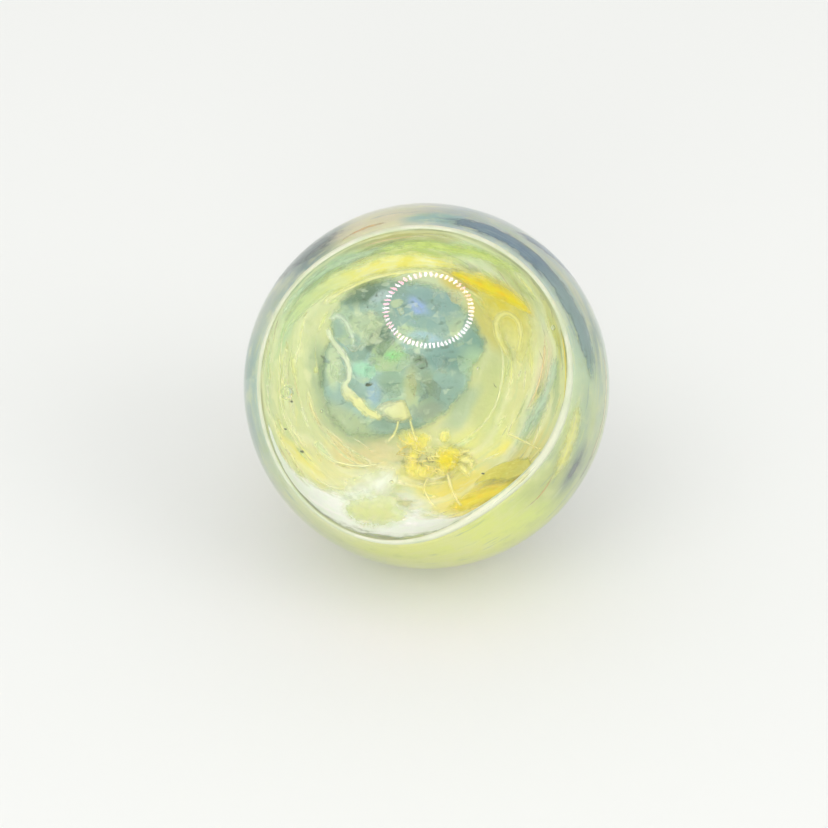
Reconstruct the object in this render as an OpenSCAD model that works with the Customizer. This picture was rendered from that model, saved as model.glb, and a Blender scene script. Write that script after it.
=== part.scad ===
// Glass marble: a milky cup with a dished front, an opal core and yellow folds, under a clear casing.
// Lengths are in millimetres. The marble's centre is the origin, +Z is up and the dish faces -Y.

/* [Marble] */
// Diameter of the marble
marble_d = 50; // [44:0.5:76]
// How far the face leans up from level, in degrees
face_lift = 40; // [0:1:90]
// How far the face turns to the left, in degrees
face_turn = 13; // [-60:1:60]
// How far the pattern turns about the face's own axis, in degrees
face_roll = 8; // [-180:1:180]

/* [Milky cup] */
// Diameter of the cup's round back
cup_d = 40.4; // [39.4:0.2:42.4]
// Height of the cup's lip over the centre of the marble
lip_height = 8; // [7:0.25:9]
// Width of the flat lip round the dish
lip_w = 0.8; // [0.6:0.1:1.4]
// Depth of the dish under the lip
dish_depth = 11; // [10:0.25:12]
// Thickness of the pale line laid along the lip
rim_line_d = 0.5; // [0.3:0.05:0.6]
// Thickness of the white glass that the line swells to beside the pool
white_rim_d = 1; // [0.8:0.05:1.2]

/* [Opal core] */
// Place of the core across the dish
core_x = -2.6; // [-3.6:0.1:-1.6]
// Place of the core up the dish
core_y = 3.4; // [2.4:0.1:4.4]
// Diameter of the core
core_d = 15.5; // [13:0.25:17]
// How far the core bulges out of the dish
core_rise = 1.6; // [1:0.1:2.4]
// How far the core sinks in under its own edge
core_sink = 2.8; // [2.4:0.1:3.6]
// Number of crushed flakes in the core
flake_count = 15; // [5:1:24]
// Width of a flake
flake_d = 2; // [1.2:0.1:2.4]
// Thickness of a flake
flake_t = 0.4; // [0.25:0.05:0.6]
// Most that a flake leans, in degrees
flake_lean = 14; // [0:1:18]

/* [Yellow crest] */
// Radius of the crest's curve
crest_r = 16.4; // [15.9:0.1:16.9]
// Thickness of the crest
crest_t = 1.1; // [0.7:0.1:1.6]
// How far the crest stands out of the dish
crest_rise = 1.7; // [1.2:0.1:2.6]
// How far the crest is rooted in the cup
crest_root = 0.6; // [0.3:0.1:1.2]
// Thickness of the gold edge that runs on from the crest
gold_edge_d = 0.9; // [0.6:0.1:1.3]
// Length of the gold edge
gold_edge_l = 9.4; // [7:0.2:10.4]
// How far the gold wedge hangs down from the gold edge
wedge_drop = 4.6; // [3.6:0.1:5.6]
// Rise of the gold wedge out of the dish
wedge_rise = 0.6; // [0.3:0.05:1]

/* [Strands] */
// Thickness of the strand that curls round the core
strand_d = 0.8; // [0.5:0.05:1.2]
// Radius of that strand's curl
strand_r = 7; // [6.4:0.1:7.4]
// Thickness of the cream knot at its end
cream_d = 1.7; // [1.3:0.1:2.2]
// Radius of the pale loop
loop_r = 2; // [1.6:0.1:2.6]
// Thickness of the pale loop
loop_d = 0.7; // [0.4:0.05:1.1]
// Thickness of the straight stringers
stringer_d = 0.5; // [0.3:0.05:0.8]
// How many times thicker the melted ends of strands and stringers are
melt = 1.3; // [1.15:0.05:1.6]

/* [Yellow knot] */
// Place of the knot across the dish
knot_x = 0.4; // [-0.4:0.1:1.2]
// Place of the knot up the dish
knot_y = -6.1; // [-6.8:0.1:-5.6]
// Number of folds round the knot
knot_folds = 6; // [4:1:9]
// Radius that the folds stand on
knot_r = 1.7; // [1.2:0.1:2.2]
// Thickness of a fold
fold_d = 1.7; // [1.2:0.1:2.3]

/* [Leaf] */
// Length of the leaf
leaf_l = 9.8; // [8:0.1:11]
// Width of the leaf at its middle
leaf_w = 3.8; // [3:0.1:4.6]
// Rise of the leaf out of the dish
leaf_rise = 0.7; // [0.4:0.05:1.1]
// Thickness of the amber edge under the leaf
amber_d = 0.9; // [0.6:0.05:1.3]

/* [Pools and bands] */
// Widest width of the white pool
pool_w = 5.6; // [4:0.2:6.6]
// Rise of the white pool out of the dish
pool_rise = 0.7; // [0.4:0.05:1]
// Diameter of the lime drop in the pool
drop_d = 5; // [4:0.2:6]
// Bulge of the lime drop over and under its own edge
drop_rise = 0.5; // [0.4:0.05:0.7]
// Length of the mint streak
streak_l = 11; // [9:0.2:12]
// Width of the mint streak
streak_w = 2.4; // [1.4:0.1:3]
// Rise of the mint streak out of the dish
streak_rise = 0.5; // [0.3:0.05:0.8]
// Width of the olive band over the crest
band_w = 1.8; // [1:0.1:2.2]
// Rise of the olive band out of the dish
band_rise = 0.5; // [0.3:0.05:0.8]
// Depth that pools, bands and the leaf are inlaid into the cup
inlay = 0.35; // [0.2:0.05:0.6]
// Depth of the slate veil in the cup's outer wall
veil_t = 0.5; // [0.3:0.05:0.9]
// How far round the cup the slate veil runs, in degrees
veil_sweep = 78; // [40:1:110]

/* [Hidden] */
$fn = 96;
// Smoothness of thin pieces cut from large rounds
fine = 240;

cup_r = cup_d / 2;
lip_r = sqrt(cup_r * cup_r - lip_height * lip_height);
mouth_r = lip_r - lip_w;
dish_r = (mouth_r * mouth_r + dish_depth * dish_depth) / (2 * dish_depth);
dish_c = lip_height - dish_depth + dish_r;
line_r = lip_r - lip_w / 2;

golden_angle = 137.508;
// Half the share by which flakes are smaller than the largest
flake_vary = 0.2;
flake_sides = 5;
// From one flake to the next, the turns in degrees that its two leans, its heading and its size follow
flake_steps = [97, 71, 53, 61];
// Lift of the knot's heart and folds, how far the folds go up and down, and the heart's size, in folds
heart_lift = 0.4;
heart_size = 1.25;
fold_lift = 0.2;
fold_sway = 0.1;
// From one fold to the next, the turn in degrees that its height follows
fold_step = 140;
// How much flatter the pool's inner curve is than the mouth's, as a share of the pool's width
pool_slack = 1 / 6;
// The turn along the lip over which the line swells to white glass
white_from = -75;
white_to = 15;
// Room between an inlay's outer end and the lip
mouth_gap = 0.5;

// Height of the prisms that cut pieces out of the skin of the dish
prism_h = 2 * dish_depth;

// The crest's centre of curvature on the dish, and the turn over which it runs
crest_at = [core_x - 0.3, core_y - 9.8];
crest_from = 70;
crest_to = 127;
// How far the gold edge turns off from the crest's own line
gold_turn = -5;
// How far along the gold edge the wedge's lower corner lies, and how far its sides bow in
wedge_along = 4.6;
wedge_bow = 0.5;

strand_at = [core_x + 1, core_y + 0.9];
strand_from = 158;
strand_to = 264;
strand_lift = 1.5;
cream_from = 240;
loop_at = [core_x + 10.8, core_y + 1.3];
loop_lift = 0.5;

// Start beside the knot, heading and length of each stringer
stringer_runs = [
    [[1.2, -1.3], -62, 5],
    [[-0.7, -1.9], -58, 3.8],
    [[5.6, 1.9], -24, 8.6],
    [[1.8, 0.1], 4, 4.6]
];
stringer_lift = 0.1;

// Bearing and distance in from the mouth of what lies near it, and the heading of what is long
leaf_bearing = -45.6;
leaf_inset = 4.3;
leaf_heading = -12;
// Room between the leaf and its amber edge
amber_gap = 0.1;
streak_bearing = -4;
streak_inset = 4.8;
streak_heading = 53;
drop_bearing = 250;
drop_inset = 3.6;
pool_bearing = 237;
band_inset = 2.1;
band_from = 42;
band_to = 148;

veil_from = 12;
// How far under the lip the slate veil begins and ends
veil_under = [2, 12];
veil_top = lip_height - veil_under[0];
veil_bottom = lip_height - veil_under[1];

// Turns what is drawn with the face's axis along +Z to how the marble lies
module face() {
    rotate([0, 0, -face_turn]) rotate([90 - face_lift, 0, 0]) rotate([0, 0, face_roll]) children();
}

// Stands children on the dish at x, y, with +Z square to its surface
module on_dish(at) {
    turn = atan2(at[1], at[0]);
    translate([0, 0, dish_c]) rotate([0, 0, turn]) rotate([0, -asin(norm(at) / dish_r), 0])
        translate([0, 0, -dish_r]) rotate([0, 0, -turn]) children();
}

// The point on the dish at a bearing, in from its mouth
function near_mouth(bearing, inset) = (mouth_r - inset) * [cos(bearing), sin(bearing)];

// Height over the dish's lowest point of a level circle of radius r that lies lift over the dish
function ring_height(r, lift) = dish_r - sqrt(pow(dish_r - lift, 2) - r * r);

// A rod that follows a circle on the dish round the point at, with its ends melted round
module rod_arc(at, r, from, to, d, lift = 0, ends = [0, 1]) {
    on_dish(at) translate([0, 0, ring_height(r, lift)]) {
        rotate([0, 0, from]) rotate_extrude(angle = to - from) translate([r, 0]) circle(d = d);
        for (e = ends) rotate([0, 0, from + e * (to - from)]) translate([r, 0, 0]) sphere(d = d * melt);
    }
}

// A rod that runs straight over the dish, from under the dish's own centre along +X, for length l
module rod_on(l, d, lift) {
    sweep = l / dish_r * 180 / PI;
    rotate([0, 90, -90]) {
        rotate_extrude(angle = sweep) translate([dish_r - lift, 0]) circle(d = d);
        for (a = [0, sweep]) rotate([0, 0, a]) translate([dish_r - lift, 0, 0]) sphere(d = d * melt);
    }
}

// Turns what lies at the lowest point of the dish, seen from its centre, to where the crest ends
module crest_end() {
    on_dish(crest_at) translate([0, 0, dish_r]) rotate([0, 0, crest_from])
        rotate([0, -asin(crest_r / dish_r), 0]) rotate([0, 0, gold_turn - 90]) children();
}

// The skin of glass from inlay deep in the cup to rise over the dish
module dish_skin(rise) {
    translate([0, 0, dish_c]) difference() {
        sphere(r = dish_r + inlay, $fn = fine);
        sphere(r = dish_r - rise, $fn = fine);
    }
}

// Radius of the sphere whose cap is d across and h high
function cap_r(d, h) = (d * d / 4 + h * h) / (2 * h);

// A round piece with a domed top and a domed underside that meet at its edge
module lens(d, up, down) {
    intersection() {
        translate([0, 0, up - cap_r(d, up)]) sphere(r = cap_r(d, up), $fn = fine);
        translate([0, 0, cap_r(d, down) - down]) sphere(r = cap_r(d, down), $fn = fine);
    }
}

module cup_blank() {
    difference() {
        intersection() {
            sphere(r = cup_r);
            translate([0, 0, lip_height - cup_d]) cylinder(r = cup_d, h = cup_d);
        }
        translate([0, 0, dish_c]) sphere(r = dish_r);
    }
}

// The line along the lip, thicker where it runs on from the pool
module line_ring() {
    translate([0, 0, lip_height]) {
        rotate_extrude() translate([line_r, 0]) circle(d = rim_line_d);
        rotate([0, 0, white_from]) rotate_extrude(angle = white_to - white_from)
            translate([line_r, 0]) circle(d = white_rim_d);
        for (a = [white_from, white_to])
            rotate([0, 0, a]) translate([line_r, 0, 0]) sphere(d = white_rim_d * melt);
    }
}

module core_lens() {
    on_dish([core_x, core_y]) translate([0, 0, ring_height(core_d / 2, 0)])
        lens(core_d, core_rise, core_sink);
}

// Crushed flakes, each set half its depth into the core's domed top
module flake_chips() {
    top_r = cap_r(core_d, core_rise);
    on_dish([core_x, core_y]) translate([0, 0, ring_height(core_d / 2, 0) + core_rise - top_r])
        for (i = [0 : flake_count - 1]) {
            out = (core_d / 2 - flake_d) * sqrt((i + 0.5) / flake_count);
            lean_x = flake_lean * sin(i * flake_steps[0]);
            lean_y = flake_lean * cos(i * flake_steps[1]);
            heading = i * flake_steps[2];
            d = flake_d * (1 - flake_vary * (1 - sin(i * flake_steps[3])));
            rotate([0, 0, i * golden_angle]) rotate([0, asin(out / top_r), 0]) translate([0, 0, top_r])
                rotate([lean_x, lean_y, heading])
                    cylinder(d = d, h = flake_t, center = true, $fn = flake_sides);
        }
}

// The section of a fold: two arcs that meet in a sharp crest and a sharp root
module fold_section() {
    h = crest_rise + crest_root;
    side_r = (h * h + crest_t * crest_t) / (4 * crest_t);
    translate([0, h / 2 - crest_root]) intersection() {
        translate([side_r - crest_t / 2, 0]) circle(r = side_r);
        translate([crest_t / 2 - side_r, 0]) circle(r = side_r);
    }
}

module crest_ridge() {
    on_dish(crest_at) translate([0, 0, ring_height(crest_r, 0)]) rotate([0, 0, crest_from])
        rotate_extrude(angle = crest_to - crest_from) translate([crest_r, 0])
            rotate([0, 0, asin(crest_r / dish_r)]) fold_section();
    crest_end() rod_on(gold_edge_l, gold_edge_d, wedge_rise);
}

module wedge_sheet() {
    left = [wedge_along / 2 + wedge_bow, -wedge_drop / 2];
    top = [gold_edge_l - gold_edge_d, 0];
    right = [(top[0] + wedge_along) / 2 - wedge_bow, -wedge_drop / 2];
    intersection() {
        dish_skin(wedge_rise);
        crest_end() translate([0, 0, -dish_r - wedge_rise]) linear_extrude(dish_r)
            polygon([[-gold_edge_d / 2, 0], top, right, [wedge_along, -wedge_drop], left]);
    }
}

module strand_curl() {
    rod_arc(strand_at, strand_r, strand_from, cream_from, strand_d, strand_lift, [0]);
    rod_arc(strand_at, strand_r, cream_from, strand_to, cream_d / melt, strand_lift);
}

module loop_ring() {
    on_dish(loop_at) translate([0, 0, ring_height(loop_r, loop_lift)])
        rotate_extrude() translate([loop_r, 0]) circle(d = loop_d);
}

module knot_ball() {
    on_dish([knot_x, knot_y]) {
        translate([0, 0, fold_d * heart_lift]) sphere(d = fold_d * heart_size);
        for (i = [0 : knot_folds - 1]) {
            lift = fold_d * (fold_lift + fold_sway * sin(i * fold_step));
            rotate([0, 0, i * 360 / knot_folds]) translate([knot_r, 0, ring_height(knot_r, 0) + lift])
                sphere(d = fold_d);
        }
    }
}

module stringer_rods() {
    for (s = stringer_runs) on_dish([knot_x, knot_y] + s[0]) rotate([0, 0, s[1]]) translate([0, 0, dish_r])
        rod_on(s[2], stringer_d, stringer_lift);
}

// Radius of the two arcs that bound a blade
function blade_r(l, w) = (l * l + w * w) / (4 * w);

// A pointed blade of glass in the skin of the dish
module blade(at, heading, l, w, rise) {
    r = blade_r(l, w);
    intersection() {
        dish_skin(rise);
        on_dish(at) rotate([0, 0, heading]) intersection() {
            translate([0, r - w / 2, -prism_h / 2]) cylinder(r = r, h = prism_h, $fn = fine);
            translate([0, w / 2 - r, -prism_h / 2]) cylinder(r = r, h = prism_h, $fn = fine);
        }
    }
}

module leaf_blade() {
    blade(near_mouth(leaf_bearing, leaf_inset), leaf_heading, leaf_l, leaf_w, leaf_rise);
}

module leaf_rod() {
    edge_r = blade_r(leaf_l, leaf_w);
    half = asin(leaf_l / 2 / edge_r);
    r = edge_r + amber_gap + amber_d * melt / 2;
    on_dish(near_mouth(leaf_bearing, leaf_inset)) rotate([0, 0, leaf_heading])
        translate([0, edge_r - leaf_w / 2, ring_height(leaf_w / 2 + r - edge_r, 0)]) {
            rotate([0, 0, 270 - half]) rotate_extrude(angle = 2 * half)
                translate([r, 0]) circle(d = amber_d);
            for (a = [270 - half, 270 + half])
                rotate([0, 0, a]) translate([r, 0, 0]) sphere(d = amber_d * melt);
        }
}

// A crescent that hugs the mouth of the dish on one side
module crescent_prism(w) {
    outer = mouth_r - mouth_gap;
    cut_r = outer + w * pool_slack;
    difference() {
        translate([0, 0, lip_height - prism_h]) cylinder(r = outer, h = prism_h);
        rotate([0, 0, pool_bearing]) translate([outer - w - cut_r, 0, lip_height - prism_h])
            cylinder(r = cut_r, h = 3 * prism_h, center = true);
    }
}

module pool_sheet() {
    intersection() {
        dish_skin(pool_rise);
        crescent_prism(pool_w);
    }
}

module drop_lens() {
    on_dish(near_mouth(drop_bearing, drop_inset)) translate([0, 0, ring_height(drop_d / 2, pool_rise)])
        lens(drop_d, drop_rise, drop_rise);
}

module streak_sheet() {
    blade(near_mouth(streak_bearing, streak_inset), streak_heading, streak_l, streak_w, streak_rise);
}

module band_sheet() {
    intersection() {
        dish_skin(band_rise);
        translate([0, 0, lip_height - prism_h]) rotate([0, 0, band_from])
            rotate_extrude(angle = band_to - band_from) translate([mouth_r - band_inset - band_w / 2, 0])
                square([band_w, prism_h]);
    }
}

module veil_shell() {
    intersection() {
        difference() {
            sphere(r = cup_r);
            sphere(r = cup_r - veil_t);
        }
        translate([0, 0, veil_bottom]) rotate([0, 0, veil_from]) rotate_extrude(angle = veil_sweep)
            translate([cup_r / 2, 0]) square([cup_r, veil_top - veil_bottom]);
    }
}

// All that is laid in or on the cup
module laid_in() {
    line_ring();
    core_lens();
    crest_ridge();
    wedge_sheet();
    strand_curl();
    loop_ring();
    knot_ball();
    stringer_rods();
    leaf_blade();
    leaf_rod();
    pool_sheet();
    drop_lens();
    streak_sheet();
    band_sheet();
}

module clear_casing() {
    color([0.93, 0.97, 0.93, 0.3]) face() difference() {
        sphere(d = marble_d);
        cup_blank();
        laid_in();
        flake_chips();
    }
}

module cup() {
    color([0.84, 0.88, 0.66]) face() difference() {
        cup_blank();
        laid_in();
        veil_shell();
    }
}

module rim_line() {
    color([0.92, 0.92, 0.78]) face() line_ring();
}

module opal_core() {
    color([0.59, 0.72, 0.70]) face() difference() {
        core_lens();
        flake_chips();
        crest_ridge();
        wedge_sheet();
        strand_curl();
        loop_ring();
        knot_ball();
    }
}

module opal_flakes() {
    color([0.64, 0.90, 0.72]) face() difference() {
        flake_chips();
        strand_curl();
    }
}

module crest_fold() {
    color([0.92, 0.90, 0.36]) face() crest_ridge();
}

module gold_wedge() {
    color([0.88, 0.83, 0.22]) face() difference() {
        wedge_sheet();
        crest_ridge();
        loop_ring();
    }
}

module inner_strand() {
    color([0.88, 0.91, 0.70]) face() strand_curl();
}

module pale_loop() {
    color([0.88, 0.88, 0.60]) face() loop_ring();
}

module yellow_knot() {
    color([0.91, 0.88, 0.34]) face() difference() {
        knot_ball();
        strand_curl();
    }
}

module stringers() {
    color([0.93, 0.91, 0.52]) face() difference() {
        stringer_rods();
        knot_ball();
        strand_curl();
    }
}

module amber_leaf() {
    color([0.80, 0.80, 0.38]) face() difference() {
        leaf_blade();
        stringer_rods();
    }
}

module amber_edge() {
    color([0.90, 0.80, 0.42]) face() difference() {
        leaf_rod();
        stringer_rods();
    }
}

module white_pool() {
    color([0.90, 0.95, 0.87]) face() difference() {
        pool_sheet();
        drop_lens();
        stringer_rods();
        leaf_blade();
        leaf_rod();
    }
}

module lime_drop() {
    color([0.85, 0.88, 0.64]) face() drop_lens();
}

module mint_streak() {
    color([0.75, 0.86, 0.80]) face() difference() {
        streak_sheet();
        stringer_rods();
        leaf_blade();
        leaf_rod();
    }
}

module olive_band() {
    color([0.80, 0.84, 0.52]) face() difference() {
        band_sheet();
        crest_ridge();
    }
}

module slate_veil() {
    color([0.53, 0.63, 0.67]) face() veil_shell();
}

clear_casing();
cup();
rim_line();
opal_core();
opal_flakes();
crest_fold();
gold_wedge();
inner_strand();
pale_loop();
yellow_knot();
stringers();
amber_leaf();
amber_edge();
white_pool();
lime_drop();
mint_streak();
olive_band();
slate_veil();
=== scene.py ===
import math
import random

import bmesh
import bpy
from mathutils import Matrix, Vector, noise


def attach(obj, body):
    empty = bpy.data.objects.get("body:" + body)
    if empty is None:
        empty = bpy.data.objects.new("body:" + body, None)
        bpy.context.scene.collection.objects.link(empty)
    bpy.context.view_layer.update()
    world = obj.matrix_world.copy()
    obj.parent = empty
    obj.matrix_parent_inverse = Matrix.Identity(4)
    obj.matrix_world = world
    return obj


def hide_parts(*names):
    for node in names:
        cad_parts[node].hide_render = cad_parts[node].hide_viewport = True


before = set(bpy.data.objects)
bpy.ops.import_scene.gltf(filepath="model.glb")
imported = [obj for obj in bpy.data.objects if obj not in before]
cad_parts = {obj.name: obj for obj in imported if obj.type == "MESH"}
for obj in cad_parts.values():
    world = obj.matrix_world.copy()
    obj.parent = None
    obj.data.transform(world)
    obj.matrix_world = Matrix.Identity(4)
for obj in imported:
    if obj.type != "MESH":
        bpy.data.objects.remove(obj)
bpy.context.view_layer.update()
print("solids loaded:", len(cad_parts))

# millimetres and degrees; the dial frame has +Z out of the middle of the dish
marble = {"radius": 25.0, "lift": 40.0, "turn": 13.0, "roll": 8.0}
milkyCup = {
    "radius": 20.2,
    "lip": 8.0,
    "lipWidth": 0.8,
    "dishDepth": 11.0,
    # bearing, spread, how far out
    "swells": [(28, 45, 1.3), (-58, 30, -1.4), (-112, 38, 1.8), (117, 25, -0.5)],
    "swellFrom": -2.0,
    "wave": 0.35,
}
lipRadius = math.sqrt(milkyCup["radius"] ** 2 - milkyCup["lip"] ** 2)
mouthRadius = lipRadius - milkyCup["lipWidth"]
dishRadius = (mouthRadius**2 + milkyCup["dishDepth"] ** 2) / (2 * milkyCup["dishDepth"])
dishCentre = milkyCup["lip"] - milkyCup["dishDepth"] + dishRadius
dial = (
    Matrix.Rotation(math.radians(-marble["turn"]), 4, "Z")
    @ Matrix.Rotation(math.radians(90 - marble["lift"]), 4, "X")
    @ Matrix.Rotation(math.radians(marble["roll"]), 4, "Z")
)
millimetres = Matrix.Scale(0.001, 4)


def clamp(value):
    return min(max(value, 0), 1)


def polar(radius, bearing, height):
    return Vector((radius * math.cos(bearing), radius * math.sin(bearing), height))


def swellAt(bearing, swells):  # bearing in degrees
    spans = [((bearing - at + 180) % 360 - 180, spread, amount) for at, spread, amount in swells]
    return sum(amount * math.exp(-((away / spread) ** 2)) for away, spread, amount in spans)


# laying glass on the dish and on the cup's wall
def dishWave(point):  # the dish isn't quite smooth
    return noise.noise(point * 0.22) * milkyCup["wave"] * math.sqrt(max(0, 1 - point.z / milkyCup["lip"]))


def dishPoint(x, y, lift=0.0):
    middle = Vector((0, 0, dishCentre))
    out = min(math.hypot(x, y), dishRadius * 0.97)
    point = Vector((x, y, dishCentre - math.sqrt(dishRadius**2 - out**2)))
    return point + (middle - point).normalized() * (lift + dishWave(point))


def coreReach(bearing):  # how far out the opal core's uneven edge lies, bearing in radians
    uneven = core["uneven"] * noise.noise(polar(1, bearing, 0) * 3.0)
    return core["radius"] * (core["girth"] + uneven + swellAt(math.degrees(bearing), core["lobes"]))


def coreLift(share):  # height of its top over the dish, share being 0 in its middle and 1 at its edge
    away = core["radius"] * min(share, 1)
    radius = capRadius(2 * core["radius"], core["rise"])
    top = math.sqrt(max(radius * radius - away * away, 0)) - radius + core["rise"]
    return top + math.sqrt(dishRadius**2 - away**2) - math.sqrt(dishRadius**2 - core["radius"] ** 2)


def corePoint(share, bearing, lift):
    turn = math.asin(coreReach(bearing) * share / dishRadius)
    flat = dishRadius * math.sin(turn)
    low = dishFrame(*core["at"]) @ polar(flat, bearing, dishRadius - dishRadius * math.cos(turn))
    return dishPoint(low.x, low.y, lift)


def moundPoint(x, y, lift=0.0):  # over the opal core's dome as well
    local = dishFrame(*core["at"]).inverted() @ dishPoint(x, y)
    bearing = math.atan2(local.y, local.x)
    share = math.hypot(local.x, local.y) / coreReach(bearing)
    return dishPoint(x, y, lift + (coreLift(share) if share < 1 else 0))


def wallPoint(x, y, lift=0.0):  # x is measured round the wall and y up it
    radius = milkyCup["radius"]
    height = math.asin(max(-0.999, min(0.999, y / radius)))
    return polar(math.cos(height), x / radius, math.sin(height)) * (radius + lift)


def wallPath(steps):  # bearing in degrees, height and half width, as places on the wall
    return [(math.radians(bearing) * milkyCup["radius"], height, half) for bearing, height, half in steps]


def dishFrame(x, y):  # its z is square to the dish at x, y
    low = Vector((x, y, -math.sqrt(dishRadius**2 - x * x - y * y)))
    tilt = Vector((0, 0, -1)).rotation_difference(low.normalized()).to_matrix().to_4x4()
    return Matrix.Translation(low + Vector((0, 0, dishCentre))) @ tilt


def swellOut(point):  # the lip isn't quite round
    out = swellAt(math.degrees(math.atan2(point.y, point.x)), milkyCup["swells"])
    rise = clamp((point.z - milkyCup["swellFrom"]) / (milkyCup["lip"] - milkyCup["swellFrom"]))
    flat = math.hypot(point.x, point.y)
    if flat < 1:
        return point
    grow = 1 + out * rise * rise * (3 - 2 * rise) / flat
    return Vector((point.x * grow, point.y * grow, point.z))


def flow(points, share):  # a place on the smooth line through points
    last = len(points) - 1
    at = min(max(share, 0) * last, last - 1e-6)
    step = int(at)
    t = at - step
    before, a, b, after = (points[max(0, min(last, step + k))] for k in (-1, 0, 1, 2))
    return [
        0.5 * (2 * q + (r - p) * t + (2 * p - 5 * q + 4 * r - s) * t * t + (3 * q - p - 3 * r + s) * t**3)
        for p, q, r, s in zip(before, a, b, after)
    ]


def drawGlass(bm, points, rise, root, lift=0.0, surface=dishPoint, around=20, along=90, blunt=0.05):
    # a ball of glass is drawn out along points, each x, y and half width
    shares = bm.verts.layers.float.get("along") or bm.verts.layers.float.new("along")
    sides = bm.verts.layers.float.get("across") or bm.verts.layers.float.new("across")
    made = bmesh.ops.create_uvsphere(bm, u_segments=around, v_segments=along, radius=1)["verts"]
    for vert in made:
        share = math.acos(max(-1, min(1, vert.co.z))) / math.pi
        x, y, half = flow(points, share)
        ahead, behind = flow(points, min(share + 0.01, 1)), flow(points, max(share - 0.01, 0))
        heading = Vector((ahead[0] - behind[0], ahead[1] - behind[1])).normalized()
        edge = min(share, 1 - share) / blunt
        full = math.sqrt(max(0, 1 - (1 - min(edge, 1)) ** 2))
        side = Vector((vert.co.x, vert.co.y))
        side = side.normalized() if side.length > 1e-4 else side
        across = side.x * half * full
        up = side.y * (rise if side.y > 0 else root) * full
        vert[shares], vert[sides] = share, side.x
        vert.co = surface(x - heading.y * across, y + heading.x * across, lift + up)
    return made


def turnRound(bm, steps):  # turns an outline about the dial's axis
    outline = bm.verts[:] + bm.edges[:]
    spans = {"angle": 2 * math.pi, "steps": steps, "axis": (0, 0, 1), "cent": (0, 0, 0)}
    bmesh.ops.spin(bm, geom=outline, use_merge=True, **spans)
    bmesh.ops.remove_doubles(bm, verts=bm.verts, dist=0.001)


def finishPiece(name, bm, finishes, node=None, swell=True, shade=False, smooth=True):
    if swell:
        for vert in bm.verts:
            vert.co = swellOut(vert.co)
    bmesh.ops.recalc_face_normals(bm, faces=bm.faces)
    bmesh.ops.transform(bm, matrix=dial @ millimetres, verts=bm.verts)
    mesh = bpy.data.meshes.new(name)
    bm.to_mesh(mesh)
    bm.free()
    for polygon in mesh.polygons:
        polygon.use_smooth = smooth
    for finish in finishes:
        mesh.materials.append(finish)
    piece = bpy.data.objects.new(name, mesh)
    bpy.context.scene.collection.objects.link(piece)
    piece.visible_shadow = shade  # thin layers of glass let the light through
    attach(piece, "root")
    if node:
        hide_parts(node)


# shader sums on sockets
class Wire:
    def __init__(self, tree, socket=None):
        self.tree = tree
        self.socket = socket

    def node(self, kind, settings=None, sockets=None, out=0):
        made = self.tree.nodes.new("ShaderNode" + kind)
        for name, value in (settings or {}).items():
            if name == "stops":
                stops = made.color_ramp.elements
                stops[0].position, stops[0].color = value[0]
                stops[1].position, stops[1].color = value[-1]
                for position, colour in value[1:-1]:
                    stops.new(position).color = colour
            else:
                setattr(made, name, value)
        for name, value in (sockets or {}).items():
            if isinstance(value, Wire):
                self.tree.links.new(value.socket, made.inputs[name])
            else:
                made.inputs[name].default_value = value
        return Wire(self.tree, made.outputs[out])

    def sum(self, operation, a, b=0.0, clamp=False):
        return self.node("Math", {"operation": operation, "use_clamp": clamp}, {0: a, 1: b})

    def __add__(self, other):
        return self.sum("ADD", self, other)

    def __sub__(self, other):
        return self.sum("SUBTRACT", self, other)

    def __rsub__(self, other):
        return self.sum("SUBTRACT", other, self)

    def __mul__(self, other):
        return self.sum("MULTIPLY", self, other)

    def __truediv__(self, other):
        return self.sum("DIVIDE", self, other)

    def __pow__(self, other):
        return self.sum("POWER", self, other)

    __radd__ = __add__
    __rmul__ = __mul__

    def blend(self, below, above):  # this wire is how much of the colour above shows
        return self.node("Mix", {"data_type": "RGBA"}, {0: self, 6: below, 7: above}, out=2)

    def between(self, low, high):  # 0 at low, 1 at high, with soft ends
        spans = {"Value": self, "From Min": low, "From Max": high, "To Min": 0.0, "To Max": 1.0}
        return self.node("MapRange", {"interpolation_type": "SMOOTHSTEP"}, spans)

    def grain(self, scale, detail=2.0, rough=0.5, bend=0.0):  # this wire is a place
        settings = {"Vector": self, "Scale": scale, "Detail": detail, "Roughness": rough, "Distortion": bend}
        return self.node("TexNoise", None, settings)

    def attribute(self, name, out="Fac"):
        return self.node("Attribute", {"attribute_name": name}, out=out)

    def ramp(self, hues):  # each colour with the share at which it lies
        stops = [(share, tint(*hue)) for share, hue in hues]
        return self.node("ValToRGB", {"stops": stops}, {0: self})

    def scaled(self, x, y, z):
        return self.node("Mapping", None, {"Vector": self, "Scale": (x, y, z)})

    def parts(self):
        return [self.node("SeparateXYZ", None, {0: self}, out=k) for k in range(3)]

    def warped(self, scale, amount, detail=2.0):
        drift = self.node("TexNoise", None, {"Vector": self, "Scale": scale, "Detail": detail}, out=1)
        drift = self.node("VectorMath", {"operation": "SUBTRACT"}, {0: drift, 1: (0.5, 0.5, 0.5)})
        drift = self.node("VectorMath", {"operation": "SCALE"}, {0: drift, "Scale": amount})
        return self.node("VectorMath", {"operation": "ADD"}, {0: self, 1: drift})

    def oval(self, x, y, long, wide, turn=0.0, soft=0.4):  # 1 inside an oval on the dish
        spans = {"Location": (x, y, 0), "Rotation": (0, 0, math.radians(turn)), "Scale": (long, wide, 1000)}
        local = self.node("Mapping", {"vector_type": "TEXTURE"}, {"Vector": self, **spans})
        away = self.node("VectorMath", {"operation": "LENGTH"}, {0: local}, out=1)
        return away.between(1 + soft, 1 - soft)


def tint(red, green, blue):
    linear = [c / 3294.6 if c <= 10.31 else ((c / 255 + 0.055) / 1.055) ** 2.4 for c in (red, green, blue)]
    return (*linear, 1.0)


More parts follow.
